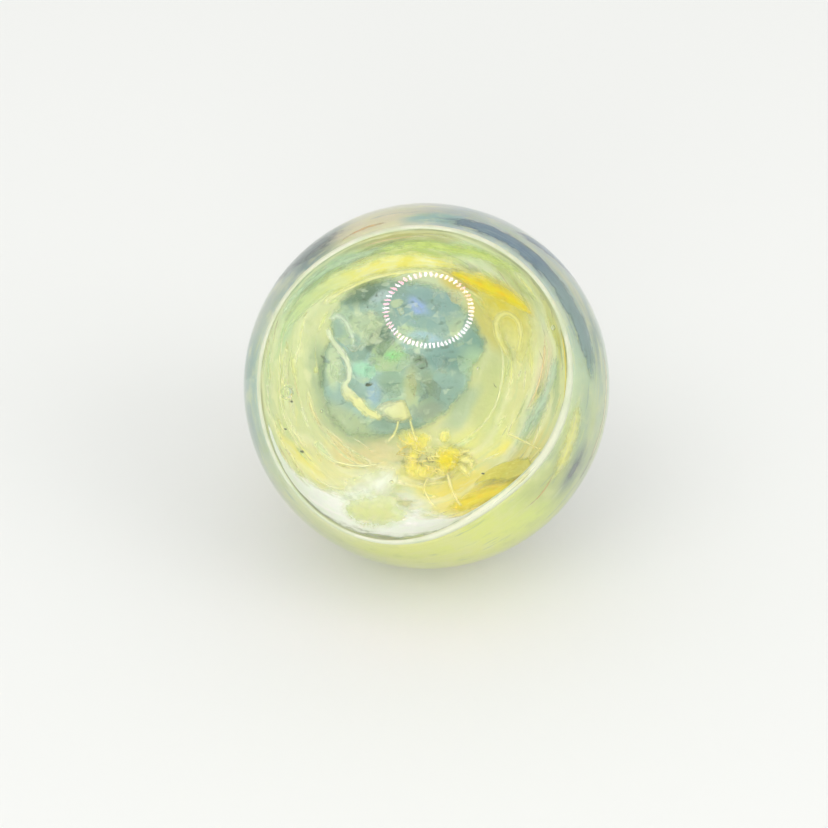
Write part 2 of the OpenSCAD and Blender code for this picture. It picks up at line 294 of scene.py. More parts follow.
def layOvals(place, colour, ovals):
    for x, y, long, wide, turn, soft, hue, strength in ovals:
        colour = (place.oval(x, y, long, wide, turn, soft) * strength).blend(colour, tint(*hue))
    return colour


def layOver(colour, *covers):  # each is how much of a colour shows, and that colour
    for cover, hue in covers:
        colour = cover.blend(colour, tint(*hue))
    return colour


def newFinish(name, roughness=0.45, shine=0.1):
    finish = bpy.data.materials.new(name)
    finish.use_nodes = True
    tree = finish.node_tree
    shader = tree.nodes["Principled BSDF"]
    shader.inputs["Roughness"].default_value = roughness
    shader.inputs["Specular IOR Level"].default_value = shine
    start = Wire(tree)
    place = start.node("TexCoord", out="Object")
    spans = {"Rotation": dial.to_euler()[:], "Scale": (0.001, 0.001, 0.001)}
    place = start.node("Mapping", {"vector_type": "TEXTURE"}, {"Vector": place, **spans})
    return finish, shader, place


def softenGlass(shader, share, reach):  # light sinks in and spreads, as in milky glass
    shader.inputs["Subsurface Weight"].default_value = share
    shader.inputs["Subsurface Radius"].default_value = (1.0, 1.0, 0.85)
    shader.inputs["Subsurface Scale"].default_value = reach


def feed(shader, name, wire):
    wire.tree.links.new(wire.socket, shader.inputs[name])


def feedBump(shader, height, strength, distance):
    bump = height.node("Bump", None, {"Strength": strength, "Distance": distance, "Height": height})
    feed(shader, "Normal", bump)


# clear casing
casing = {"index": 1.5, "faces": 6, "slack": 0.006}


def makeCasing():
    finish = bpy.data.materials.new("clearGlass")
    finish.use_nodes = True
    tree = finish.node_tree
    start = Wire(tree)
    shader = tree.nodes["Principled BSDF"]
    shader.inputs["Base Color"].default_value = tint(252, 255, 252)
    shader.inputs["Transmission Weight"].default_value = 1.0
    shader.inputs["IOR"].default_value = casing["index"]
    shader.inputs["Roughness"].default_value = 0.0
    lampRay = start.node("LightPath", out="Is Shadow Ray")
    through = start.node("BsdfTransparent", None, {"Color": tint(250, 254, 250)})
    mixed = start.node("MixShader", None, {0: lampRay, 1: Wire(tree, shader.outputs[0]), 2: through})
    tree.links.new(mixed.socket, tree.nodes["Material Output"].inputs["Surface"])
    bm = bmesh.new()
    radius = marble["radius"] - casing["slack"]
    bmesh.ops.create_icosphere(bm, subdivisions=casing["faces"], radius=radius)
    finishPiece("casing", bm, [finish], "clear_casing", swell=False, shade=True)


# milky cup
dishColours = [  # x, y, half length, half width, turn, softness, colour, strength
    (0.5, 13.6, 9.0, 1.7, 0, 0.5, (200, 220, 150), 0.8),
    (-1.2, 14.9, 6.0, 0.7, 2, 0.6, (188, 212, 150), 0.6),
    (-5.0, 15.2, 3.0, 0.7, 10, 0.5, (221, 203, 130), 0.7),
    (1.8, 15.6, 2.6, 0.6, -6, 0.5, (220, 206, 128), 0.6),
    (-10.0, 10.6, 6.0, 1.7, 42, 0.5, (188, 219, 184), 0.9),
    (-13.0, 6.6, 3.6, 1.2, 70, 0.5, (190, 219, 176), 0.8),
    (-15.9, 0.0, 8.0, 1.4, 90, 0.5, (212, 224, 174), 0.8),
    (-11.9, -1.4, 6.5, 1.9, 90, 0.5, (220, 229, 176), 0.9),
    (-9.3, 0.2, 4.2, 1.5, 97, 0.35, (190, 209, 168), 0.85),
    (-6.6, -3.6, 3.8, 1.5, -32, 0.35, (188, 204, 158), 0.9),
    (-7.0, -6.1, 4.4, 1.2, 4, 0.5, (229, 221, 164), 0.8),
    (-8.4, -8.5, 3.6, 1.4, -28, 0.5, (228, 232, 170), 0.9),
    (-12.2, -7.6, 3.4, 1.0, -48, 0.5, (240, 236, 128), 0.8),
    (0.6, -8.8, 6.4, 2.1, 4, 0.5, (232, 228, 132), 0.9),
    (2.4, -11.2, 3.4, 1.4, -20, 0.5, (240, 232, 110), 0.7),
    (7.6, -12.8, 4.4, 1.1, 12, 0.5, (238, 226, 96), 0.9),
    (6.4, -5.6, 2.4, 0.8, 10, 0.5, (246, 240, 120), 0.8),
    (4.6, -4.8, 4.6, 1.7, 30, 0.4, (236, 239, 157), 0.9),
    (6.8, -1.4, 5.0, 1.5, 65, 0.5, (218, 227, 162), 0.9),
    (9.4, 3.2, 6.0, 2.3, 85, 0.4, (228, 229, 168), 0.9),
    (12.2, 0.9, 4.2, 1.1, 84, 0.6, (234, 224, 194), 0.85),
    (10.4, -3.8, 4.0, 1.2, 64, 0.5, (182, 206, 172), 0.9),
    # the two olive ovals at the top right, just inside the lip, are the glass's olive darkened as painted
    # shade under the lip
    (10.6, 12.4, 5.5, 1.6, -42, 0.5, (186, 194, 78), 0.9),
    (14.5, 7.2, 5.0, 1.3, -68, 0.5, (198, 196, 72), 0.9),
    (14.4, -0.8, 3.4, 0.8, 86, 0.5, (184, 203, 154), 0.8),
]
dishTintsAndLipShade = [  # the same, over the paler cast of its upper half; its darker olive and mint ovals along the top, just inside the lip, are the glass's tints darkened as painted shade under the lip
    (-3.0, 15.2, 7.5, 1.1, 4, 0.5, (190, 192, 124), 0.75),
    (-0.5, 13.5, 6.5, 1.0, 0, 0.5, (190, 212, 122), 0.7),
    (-10.5, 11.0, 4.0, 1.5, 42, 0.5, (184, 208, 168), 0.7),
    (5.2, 6.6, 3.4, 1.5, -65, 0.4, (216, 208, 110), 0.8),
    (2.8, 9.5, 1.8, 0.9, -35, 0.5, (230, 210, 106), 0.85),
    # painted shade: this oval and the next two darken the band just inside the lip at the top, over the
    # glass's own mint and olive
    (-11.8, 12.6, 5.0, 0.9, 42, 0.5, (158, 186, 154), 0.85),
    (-6.5, 15.4, 4.0, 0.9, 22, 0.5, (172, 186, 136), 0.8),
    (-2.0, 16.4, 6.0, 0.7, 4, 0.5, (198, 194, 118), 0.85),
    (9.6, 10.6, 4.0, 1.0, -42, 0.5, (184, 198, 108), 0.7),
    (-2.2, -11.0, 3.4, 1.5, -8, 0.5, (228, 241, 218), 0.9),
    (4.4, -9.6, 3.0, 1.1, 0, 0.5, (232, 222, 104), 0.7),
    (5.2, 0.0, 3.4, 1.0, 70, 0.5, (202, 213, 148), 0.75),
    (2.9, -1.7, 2.2, 0.8, 50, 0.5, (182, 205, 170), 0.75),
    (10.0, -8.2, 4.6, 2.2, 40, 0.5, (220, 212, 122), 0.85),
    (7.0, -10.4, 3.0, 1.2, 20, 0.5, (234, 224, 140), 0.7),
    (-5.7, 9.5, 2.5, 0.6, 25, 0.5, (188, 196, 116), 0.7),
    (-10.0, 1.4, 2.1, 0.6, 90, 0.5, (166, 184, 146), 0.3),
]
wallColours = [  # share of a turn from the dial's -X side, colour
    (0.0, (176, 204, 192)), (0.06, (196, 214, 192)), (0.12, (222, 232, 190)), (0.22, (232, 238, 166)),
    (0.3, (234, 241, 148)), (0.37, (228, 240, 148)), (0.42, (196, 208, 176)), (0.46, (222, 232, 178)),
    (0.51, (206, 226, 194)), (0.56, (186, 208, 196)), (0.65, (190, 206, 198)), (0.72, (176, 196, 196)),
    (0.77, (218, 222, 190)), (0.83, (222, 226, 188)), (0.87, (150, 174, 172)), (0.92, (176, 196, 186)),
    (0.96, (196, 214, 196)), (1.0, (176, 204, 192)),
]
wallPatches = [  # bearing in degrees, height, half length, half height, turn, softness, colour, strength
    (126, 3.6, 3.6, 4.6, -6, 0.5, (118, 142, 140), 0.8),
    (174, 3.8, 3.8, 3.4, 0, 0.6, (146, 182, 172), 0.8),
    (200, -6.0, 9.0, 3.0, 20, 0.6, (206, 220, 188), 0.7),
    (130, -9.0, 10.0, 2.6, -24, 0.6, (150, 176, 180), 0.7),
    (60, -10.0, 10.0, 2.4, -20, 0.6, (214, 226, 180), 0.7),
    (-10, -11.0, 10.0, 2.6, -22, 0.6, (190, 212, 190), 0.7),
    (108, 5.0, 5.5, 2.6, 0, 0.5, (228, 226, 192), 0.85),
    (155, 4.5, 3.6, 3.0, 0, 0.6, (186, 202, 184), 0.7),
    (60, 1.6, 5.0, 1.3, 0, 0.6, (206, 222, 204), 0.7),
    (30, 0.4, 5.0, 1.3, 0, 0.6, (222, 226, 190), 0.7),
    (14, -1.0, 4.6, 2.0, 0, 0.5, (156, 180, 166), 0.9),
    (84, 5.6, 3.4, 1.6, 0, 0.5, (146, 196, 190), 0.8),
    (-14, 4.2, 5.0, 2.4, 24, 0.5, (196, 214, 186), 0.8),
    (-4, -1.4, 5.0, 1.8, 0, 0.6, (204, 222, 194), 0.7),
    (-46, 5.6, 5.0, 1.5, 10, 0.5, (216, 226, 156), 0.7),
    (-29, 1.0, 3.0, 2.0, 0, 0.6, (150, 166, 162), 0.7),
    (-35, 4.6, 4.0, 2.2, 0, 0.6, (206, 214, 158), 0.75),
    (-66, 4.6, 6.0, 1.8, 0, 0.5, (234, 242, 150), 0.7),
    (-96, 5.0, 6.0, 2.0, 0, 0.6, (228, 238, 142), 0.7),
    (-165, 3.0, 3.0, 2.6, 0, 0.6, (166, 192, 184), 0.7),
]


def makeDishFinish():
    finish, shader, place = newFinish("milkyDish", 0.5, 0.05)
    softenGlass(shader, 0.8, 0.005)
    drift = place.warped(0.16, 3.2, 3.0).warped(0.9, 0.35)
    broad = drift.grain(0.11, 3.0)
    colour = broad.between(0.35, 0.65).blend(tint(216, 225, 174), tint(226, 231, 172))
    colour = layOvals(drift, colour, dishColours)
    x, y, _ = place.parts()
    colour = (y.between(1.0, 14.0) * 0.38).blend(colour, tint(236, 246, 238))
    colour = layOvals(drift, colour, dishTintsAndLipShade)
    # thin turns of pale and olive glass follow the swirl
    turned = drift.node("Mapping", {"vector_type": "TEXTURE"}, {"Vector": drift, "Location": (-1.8, 2.4, 0)})
    across, up, _ = turned.parts()
    away = (across * across + up * up) ** 0.5
    bearing = across.sum("ARCTAN2", up, across)
    heading = turned.node("VectorMath", {"operation": "NORMALIZE"}, {0: turned})
    ahead, beside, _ = heading.parts()
    combed = away.node("CombineXYZ", None, {0: ahead * 2.6, 1: beside * 2.6, 2: away * 1.15})
    comb, fineComb = combed.grain(1.0, 5.0, 0.62), combed.grain(2.4, 4.0, 0.6, 0.4)
    turns = away + bearing * 0.9 + broad * 3.0
    pale = (turns.sum("SINE", turns * 1.9) * 0.5 + 0.5) ** 9.0
    olive = (turns.sum("SINE", turns * 1.27 + 1.0) * 0.5 + 0.5) ** 12.0
    outside = away.between(8.0, 9.5)
    colour = layOver(
        colour,
        (comb.between(0.54, 0.68) * outside * 0.6, (240, 243, 196)),
        (comb.between(0.45, 0.32) * outside * 0.45, (196, 218, 170)),
        (fineComb.between(0.6, 0.72) * outside * 0.5, (244, 242, 172)),
        (fineComb.between(0.4, 0.3) * outside * 0.25, (196, 204, 136)),
        (pale * outside * 0.5, (242, 246, 202)),
        (olive * outside * 0.18, (186, 200, 134)),
    )
    # painted shade: a brown-olive darkening just inside the lip, standing for the shade under it
    out = (x * x + y * y) ** 0.5
    shade = out.between(16.9, 17.5) * (place.grain(0.25, 1.0).between(0.3, 0.7) * 0.6 + 0.4)
    colour = (shade * 0.75).blend(colour, tint(156, 162, 112))
    feed(shader, "Base Color", colour)
    feedBump(shader, pale * 0.4 + place.grain(0.7, 3.0) * 0.6, 0.25, 0.0006)
    return finish


def makeWallFinish():
    finish, shader, place = newFinish("milkyWall", 0.5, 0.05)
    softenGlass(shader, 0.8, 0.005)
    drift = place.warped(0.1, 3.4, 3.0)
    x, y, z = drift.parts()
    broad = place.grain(0.1, 4.0, 0.6)
    low = z.between(-4.0, -20.0)
    share = x.sum("ARCTAN2", y, x) / (2 * math.pi) + 0.5 + low * 0.45 + (broad - 0.5) * low * 1.6
    share = share.sum("FRACT", share)
    colour = share.ramp(wallColours)
    bearing = x.sum("ARCTAN2", y, x)
    spot = x.node("CombineXYZ", None, {0: bearing * milkyCup["radius"], 1: z, 2: 0.0})
    patches = [(math.radians(around) * milkyCup["radius"], *patch) for around, *patch in wallPatches]
    colour = layOvals(spot, colour, patches)
    # broad clouds, and streaks that run round the wall as the glass was turned
    mottle = place.grain(0.3, 5.0, 0.6)
    streak = place.warped(0.12, 2.0).scaled(0.16, 0.16, 1.1).grain(1.0, 4.0, 0.6)
    fine = place.warped(0.3, 0.8).scaled(0.22, 0.22, 2.2).grain(1.0, 3.0)
    colour = layOver(
        colour,
        (broad.between(0.5, 0.62) * z.between(-7.0, -14.0) * 0.7, (222, 232, 188)),
        (broad.between(0.46, 0.38) * z.between(-7.0, -14.0) * 0.6, (142, 172, 178)),
        (mottle.between(0.5, 0.66) * 0.35, (238, 242, 190)),
        (mottle.between(0.48, 0.34) * 0.25, (190, 204, 142)),
        (streak.between(0.56, 0.74) * 0.7, (229, 236, 178)),
        (streak.between(0.42, 0.26) * 0.6, (150, 178, 176)),
        (fine.between(0.58, 0.75) * 0.3, (240, 244, 214)),
    )
    feed(shader, "Base Color", colour)
    feedBump(shader, streak, 0.2, 0.0005)
    return finish


def makeCup():
    bm = bmesh.new()
    low = bm.verts.new((0, 0, -milkyCup["radius"]))
    bend = math.pi / 2 + math.asin(milkyCup["lip"] / milkyCup["radius"])
    spans = {"steps": 56, "axis": (0, 1, 0)}
    edge = bmesh.ops.spin(bm, geom=[low], angle=-bend, cent=(0, 0, 0), **spans)["geom_last"]
    edge = [v for v in edge if isinstance(v, bmesh.types.BMVert)]
    lip = bmesh.ops.extrude_vert_indiv(bm, verts=edge)["verts"]
    bmesh.ops.translate(bm, vec=(-milkyCup["lipWidth"], 0, 0), verts=lip)
    sink = math.asin(mouthRadius / dishRadius)
    middle = Vector((0, 0, dishCentre))
    bmesh.ops.spin(bm, geom=lip, angle=sink, cent=middle, **spans)
    turnRound(bm, 180)
    for face in bm.faces:
        at = face.calc_center_median()
        inDish = (at - middle).length < dishRadius + 0.01 and at.z < milkyCup["lip"]
        face.material_index = 1 if inDish else 0
    for vert in bm.verts:
        if (vert.co - middle).length < dishRadius + 0.01 and vert.co.z < milkyCup["lip"] - 0.01:
            vert.co += (middle - vert.co).normalized() * dishWave(vert.co)
    finishPiece("milkyCup", bm, [makeWallFinish(), makeDishFinish()], "cup", shade=True)


# finishes of drawn glass
def drawnFinish(name, hues, fade, rich=None):
    # fade is how far its sides and its ends fade, how torn they are and how little shows through
    soft, ends, ragged, thick = fade
    body, light, deep = hues
    finish, shader, place = newFinish(name, 0.35, 0.15)
    along, across = place.attribute("along"), place.attribute("across")
    combed = place.node("CombineXYZ", None, {0: along * 7.0, 1: across * 2.4, 2: 0.0}).warped(1.2, 0.5)
    streak = combed.grain(1.6, 4.0, 0.6)
    cloud = place.grain(0.7, 4.0, 0.6)
    colour = cloud.between(0.35, 0.7).blend(tint(*body), tint(*deep))
    colour = streak.between(0.5, 0.72).blend(colour, tint(*light))
    if rich:
        colour = place.attribute("tone").blend(colour, tint(*rich))
    feed(shader, "Base Color", colour)
    side = across.sum("ABSOLUTE", across)
    torn = (streak * 0.5 + cloud * 0.5).between(0.36, 0.64) * ragged
    edge = (1 - side - torn * 0.8).between(0.0, soft)
    tips = (along - torn * ends).between(0.0, ends) * (1 - along - torn * ends).between(0.0, ends)
    feed(shader, "Alpha", edge * tips * (cloud * 0.4 + 0.8) * thick)
    feedBump(shader, streak, 0.3, 0.0003)
    return finish


def drawPiece(name, look, node=None, slot=None, surface=dishPoint, finish=None, tone=None):
    # a form is its rise, root and lift, its steps around and along, and how blunt its ends are
    bm = bmesh.new()
    tones = bm.verts.layers.float.new("tone") if tone else None
    paths = look.get("paths") or [look.get("path")]
    runs = look.get("runs") or [(look["form"], path) for path in paths]
    for number, (form, path) in enumerate(runs):
        rise, root, lift, around, along, blunt = form
        path = wallPath(path) if surface is wallPoint else path
        made = drawGlass(bm, path, rise, root, lift, surface, around, along, blunt)
        if tone and number == 0:  # the first run alone is toned
            for vert in made:
                vert[tones] = tone(vert.co)
    finish = drawnFinish(finish or name, look["hues"], look["fade"], look.get("rich"))
    finishPiece(name, bm, [finish], node)


# opal core
core = {
    "at": (-2.6, 3.4),
    "radius": 7.75,
    "rise": 1.6,
    "sink": 2.8,
    "flakes": 15,
    "crumbs": 150,
    "girth": 0.93,
    "uneven": 0.03,
    "lobes": [  # bearing, spread, how far out
        (-131, 26, 0.26),
        (-165, 12, 0.05),
        (168, 8, -0.08),
        (132, 22, 0.06),
        (79, 20, -0.06),
        (4, 12, 0.06),
        (-14, 8, -0.1),
        (-45, 18, -0.06),
    ],
}


def capRadius(across, high):
    return (across * across / 4 + high * high) / (2 * high)


opalHues = [  # share, colour
    (0.0, (128, 158, 138)),
    (0.22, (146, 174, 158)),
    (0.5, (162, 194, 184)),
    (0.72, (180, 204, 170)),
    (0.88, (206, 222, 184)),
    (1.0, (226, 236, 210)),
]
coreColours = [  # x, y, half length, half width, turn, softness, colour, strength
    (0.2, 7.6, 3.2, 1.8, 0, 0.5, (132, 170, 174), 0.75),
    (4.1, 3.9, 1.7, 1.0, 60, 0.4, (124, 166, 158), 0.8),
    (1.7, 2.7, 1.9, 1.3, 10, 0.35, (130, 166, 160), 0.85),
    (1.3, -0.6, 1.9, 1.3, 35, 0.5, (142, 174, 166), 0.85),
    (-0.2, -2.1, 1.4, 0.8, 20, 0.5, (150, 166, 146), 0.85),
    (-3.0, 0.6, 1.4, 1.1, 0, 0.4, (148, 178, 150), 0.75),
    (-1.5, 0.0, 0.6, 1.8, -6, 0.6, (190, 198, 144), 0.75),
    (-5.9, 8.4, 1.9, 1.0, 25, 0.5, (108, 134, 112), 0.95),
    (-5.5, 5.6, 1.7, 1.2, -10, 0.4, (186, 204, 162), 0.75),
    (-8.1, 5.4, 0.8, 1.1, -15, 0.4, (156, 184, 172), 0.85),
    (-4.45, 4.2, 1.5, 0.8, 48, 0.2, (108, 136, 114), 0.95),
    (-6.2, 2.8, 1.2, 0.6, 5, 0.35, (122, 158, 132), 0.5),
    (-3.6, 2.8, 1.6, 1.2, 40, 0.15, (172, 198, 150), 0.9),
    (-2.9, 2.7, 0.75, 0.45, 10, 0.8, (140, 226, 144), 0.85),
    (-5.9, 1.6, 0.8, 0.65, 0, 0.5, (170, 222, 190), 0.85),
    (-4.8, -0.6, 0.65, 1.1, 0, 0.5, (156, 188, 204), 0.85),
    (-1.9, 4.9, 1.0, 0.5, 35, 0.2, (190, 210, 168), 0.85),
    (-2.8, 7.6, 0.5, 0.4, 20, 0.2, (192, 210, 170), 0.8),
    (-0.9, 7.3, 1.0, 0.45, -40, 0.8, (156, 184, 238), 0.9),
    (-0.1, 4.5, 1.2, 0.4, -10, 0.8, (176, 208, 228), 0.8),
    (-0.7, 2.4, 0.8, 0.5, -30, 0.5, (122, 144, 108), 0.7),
    (3.9, 2.3, 1.0, 1.3, 0, 0.5, (184, 214, 180), 0.75),
    (-9.7, 1.5, 0.5, 1.7, 0, 0.4, (122, 148, 120), 0.8),
    (-8.5, 1.8, 0.6, 1.9, 0, 0.5, (210, 226, 180), 0.75),
    (-0.3, 0.2, 0.8, 1.5, 0, 0.5, (140, 162, 132), 0.8),
    (-0.4, 5.9, 1.3, 0.6, -10, 0.4, (138, 174, 166), 0.75),
    (-4.2, 8.2, 1.0, 0.45, 25, 0.4, (182, 204, 206), 0.8),
    (-7.3, -3.2, 2.7, 1.1, -30, 0.5, (176, 193, 150), 0.85),
]


def makeCoreFinish():
    finish, shader, place = newFinish("opalGlass", 0.35, 0.2)
    drift = place.warped(0.55, 0.9, 4.0)
    sheets = {"Vector": place.warped(0.9, 0.5), "Scale": 0.42, "Randomness": 1.0}
    cells = drift.node("TexVoronoi", {"feature": "F1"}, sheets, out="Color")
    tone = cells.node("SeparateXYZ", None, {0: cells})
    cloud = drift.grain(0.22, 5.0, 0.62)
    colour = (tone * 0.6 + cloud * 1.4 - 0.54).ramp(opalHues)
    colour = layOvals(drift, colour, coreColours)
    # pale and dark shards lie in it
    shards = place.warped(0.8, 0.9).scaled(0.9, 1.7, 1.0)
    flecks = shards.node("TexVoronoi", {"feature": "F1"}, {"Vector": shards, "Scale": 1.5}, out="Color")
    fleck = flecks.node("SeparateXYZ", None, {0: flecks})
    mottled = place.grain(0.9, 5.0, 0.7)
    pale = drift.oval(-5.4, 5.6, 2.2, 1.6, -20, 0.5)
    dark = drift.oval(-5.4, 7.6, 2.2, 1.0, 25, 0.5) + drift.oval(-0.7, 2.4, 1.2, 0.9, 0, 0.5)
    colour = layOver(
        colour,
        (fleck.between(0.82, 0.9) * mottled.between(0.4, 0.6) * 0.5, (208, 222, 196)),
        (fleck.between(0.16, 0.08) * mottled.between(0.4, 0.6) * 0.6, (106, 134, 114)),
        (pale * mottled.between(0.5, 0.58) * 0.6, (216, 226, 186)),
        (dark * mottled.between(0.44, 0.36) * 0.7, (78, 98, 76)),
    )
    feed(shader, "Base Color", colour)
    out = place.attribute("across")
    feed(shader, "Alpha", (out + mottled * 0.14).between(1.08, 0.98))
    feedBump(shader, cloud * 0.6 + fleck * 0.4, 0.35, 0.0004)
    return finish


def makeCore():
    bm = bmesh.new()
    sides = bm.verts.layers.float.new("across")
    made = bmesh.ops.create_uvsphere(bm, u_segments=120, v_segments=80, radius=1)["verts"]
    for vert in made:
        share = min(math.hypot(vert.co.x, vert.co.y), 1)
        bearing = math.atan2(vert.co.y, vert.co.x)
        vert[sides] = share
        lump = noise.noise(Vector((vert.co.x, vert.co.y, 3)) * 4.0) * 0.2 * (1 - share)
        lift = coreLift(share) + lump if vert.co.z >= 0 else -core["sink"] * (1 - share**2)
        vert.co = corePoint(share, bearing, lift)
    finishPiece("opalCore", bm, [makeCoreFinish()], "opal_core", swell=False)


facets = [  # colour and corners of the large flat flakes that catch the light
    ((206, 222, 184), [(-2.5, 4.5), (-1.8, 5.4), (-1.0, 4.9), (-1.1, 4.4)]),
    (
        (182, 208, 158),
        [(-5.0, 2.1), (-4.3, 3.1), (-3.1, 4.1), (-1.5, 3.4), (-1.7, 2.2), (-2.9, 1.3), (-4.8, 1.4)],
    ),
    ((116, 144, 122), [(-5.5, 3.4), (-5.0, 4.5), (-3.7, 5.5), (-3.2, 5.0), (-4.1, 3.9), (-4.8, 3.0)]),
    ((200, 216, 178), [(-7.0, 3.8), (-6.3, 5.7), (-5.6, 6.8), (-4.4, 6.5), (-4.8, 5.2), (-5.5, 4.2)]),
    ((198, 216, 180), [(-3.1, 7.9), (-2.4, 8.0), (-2.2, 7.5), (-2.7, 7.2)]),
    ((222, 214, 160), [(1.7, 8.8), (2.5, 9.0), (3.2, 7.9), (3.0, 7.4), (2.2, 7.9)]),
    ((188, 216, 190), [(2.6, 4.4), (3.4, 4.6), (4.0, 2.2), (3.8, 0.8), (2.8, 1.4)]),
    ((138, 162, 136), [(-0.6, 0.4), (0.5, 0.9), (1.3, -0.2), (0.9, -1.3), (-0.2, -0.7)]),
    ((190, 198, 146), [(-2.2, 1.2), (-1.3, 1.5), (-1.0, 0.2), (-1.4, -1.2), (-1.9, -0.2)]),
    ((174, 224, 194), [(-6.5, 2.1), (-5.5, 2.2), (-5.2, 1.1), (-5.9, 0.5), (-6.6, 1.0)]),
    ((208, 224, 184), [(-9.3, 2.0), (-8.4, 2.8), (-8.0, 1.4), (-8.0, -0.3), (-9.1, 0.7)]),
    ((208, 226, 186), [(-8.6, 4.4), (-7.2, 4.8), (-6.6, 3.9), (-7.4, 3.2)]),
    ((140, 176, 168), [(0.4, 3.0), (1.8, 3.3), (2.3, 2.2), (1.2, 1.4)]),
    ((156, 184, 158), [(-4.4, -0.2), (-3.2, 0.3), (-2.6, -0.9), (-3.9, -1.4)]),
]


def layFacet(bm, corners, thick, lift, rim=1.0):  # its corners are laid on the dish or the core
    sides = bm.verts.layers.float.get("across")
    made = [bm.verts.new(moundPoint(x, y, lift)) for x, y in corners]
    bottom = bm.faces.new(made)
    raised = bmesh.ops.extrude_face_region(bm, geom=[bottom])["geom"]
    top = [v for v in raised if isinstance(v, bmesh.types.BMVert)]
    middle = sum((v.co for v in top), Vector()) / len(top)
    for vert in top:
        vert.co = middle + (vert.co - middle) * 0.97 + Vector((0, 0, thick))
    for vert in made + top:
        vert[sides] = rim
    crown = bmesh.ops.poke(bm, faces=[f for f in raised if isinstance(f, bmesh.types.BMFace)])["verts"]
    for vert in crown:
        vert[sides] = 0.0
    return made + top + crown


def makeFacets():
    bm = bmesh.new()
    bm.verts.layers.float.new("across")
    hues = bm.verts.layers.float_color.new("hue")
    for hue, corners in facets:
        for vert in layFacet(bm, corners, 0.04, 0.12):
            vert[hues] = tint(*hue)
    bmesh.ops.recalc_face_normals(bm, faces=bm.faces)
    finish, shader, place = newFinish("flatOpal", 0.2, 0.4)
    colour = place.attribute("hue", "Color")
    out = place.attribute("across")
    mottled = place.warped(0.8, 0.8).grain(1.1, 5.0, 0.66)
    colour = layOver(
        colour,
        (mottled.between(0.5, 0.62) * 0.3, (222, 232, 204)),
        (mottled.between(0.46, 0.34) * 0.25, (116, 146, 126)),
    )
    feed(shader, "Base Color", colour)
    edge = (1.06 - out - mottled.between(0.4, 0.6) * 0.12).between(0.0, 0.1)
    feed(shader, "Alpha", mottled.between(0.26, 0.54) * edge * 0.45)
    finishPiece("opalFacets", bm, [finish], swell=False, smooth=False)


crushed = {
    "goldenAngle": 137.508,
    "leans": (14, 40),  # of a large flake and of a crumb, in degrees
    "hues": [  # share, colour
        (0.0, (134, 162, 146)),
        (0.2, (150, 180, 170)),
        (0.4, (160, 198, 194)),
        (0.55, (176, 208, 178)),
        (0.7, (200, 222, 192)),
        (0.85, (222, 234, 218)),
        (0.93, (158, 206, 232)),
        (1.0, (156, 230, 170)),
    ],
}


def makeFlakeFinish():
    finish, shader, place = newFinish("crushedOpal", 0.2, 0.4)
    cloud = place.grain(1.4, 3.0)
    colour = (place.attribute("tone") + cloud * 0.24 - 0.12).ramp(crushed["hues"])
    feed(shader, "Base Color", colour)
    feed(shader, "Alpha", cloud.between(0.35, 0.7) * 0.24)
    return finish


def makeFlakes():
    dice = random.Random(7)
    bm = bmesh.new()
    tones = bm.verts.layers.float.new("tone")
    for number in range(core["flakes"] + core["crumbs"]):
        large = number < core["flakes"]
        if large:
            share = 0.75 * math.sqrt((number + 0.5) / core["flakes"])
            bearing = math.radians(number * crushed["goldenAngle"])
            size, thick = dice.uniform(0.75, 1.0), 0.2
        else:
            share = 0.93 * math.sqrt(dice.random())
            bearing = dice.uniform(-math.pi, math.pi)
            size, thick = 0.1 + 0.75 * dice.random() ** 2.6, 0.05
        lean = crushed["leans"][0 if large else 1]
        seat = corePoint(share, bearing, coreLift(share))
        ahead = corePoint(share + 0.02, bearing, coreLift(share + 0.02)) - seat
        beside = corePoint(share, bearing + 0.05, coreLift(share)) - seat
        turn = ahead.cross(beside).to_track_quat("Z", "Y").to_matrix().to_4x4()
        turn = Matrix.Translation(seat) @ turn
        for axis in "XY":
            turn = turn @ Matrix.Rotation(math.radians(dice.uniform(-lean, lean)), 4, axis)
        turn = turn @ Matrix.Rotation(dice.uniform(0, 6.28), 4, "Z")
        corners = dice.choice((4, 5, 5, 6))
        made = bmesh.ops.create_circle(bm, cap_ends=True, segments=corners, radius=size)["verts"]
        for vert in made:
            vert.co *= dice.uniform(0.6, 1.1)
        bottom = list({f for v in made for f in v.link_faces})
        top = bmesh.ops.extrude_face_region(bm, geom=bottom)["geom"]
        top = [v for v in top if isinstance(v, bmesh.types.BMVert)]
        bmesh.ops.translate(bm, vec=(0, 0, thick), verts=top)
        bmesh.ops.translate(bm, vec=(0, 0, -thick * 0.4), verts=made + top)
        tone = dice.uniform(0.3, 0.8) if large else dice.triangular(0, 1, 0.6)
        for vert in made + top:
            vert[tones] = tone
        bmesh.ops.transform(bm, matrix=turn, verts=made + top)
    finishPiece("opalFlakes", bm, [makeFlakeFinish()], "opal_flakes", swell=False, smooth=False)


# crest, gold edge and wedge
crestFold = {
    "hues": [(246, 243, 164), (252, 251, 208), (243, 234, 112)],
    "rich": (204, 226, 168),
    "fade": (0.7, 0.2, 0.3, 1.0),
    "form": (0.9, 0.6, 0.0, 28, 150, 0.3),
    "path": [
        (-15.2, 2.8, 0.8), (-14.2, 5.6, 1.3), (-12.6, 8.0, 1.7), (-10.6, 9.7, 1.9), (-8.2, 10.9, 2.0),
        (-5.8, 11.8, 1.9), (-3.4, 12.3, 1.8), (-1.0, 12.5, 1.65), (1.4, 12.3, 1.4), (3.6, 11.8, 1.1),
        (5.4, 11.1, 0.5),
    ],
}
crestEdge = {
    "hues": [(246, 244, 186), (252, 252, 220), (236, 232, 140)],
    "fade": (0.8, 0.25, 0.3, 0.9),
    "form": (0.2, 0.3, 0.3, 16, 100, 0.2),
    "path": [
        (-10.4, 7.0, 0.2), (-8.8, 8.5, 0.38), (-6.8, 9.7, 0.42), (-4.4, 10.5, 0.4), (-1.6, 10.9, 0.36),
        (1.2, 10.8, 0.32), (3.6, 10.2, 0.2),
    ],
}
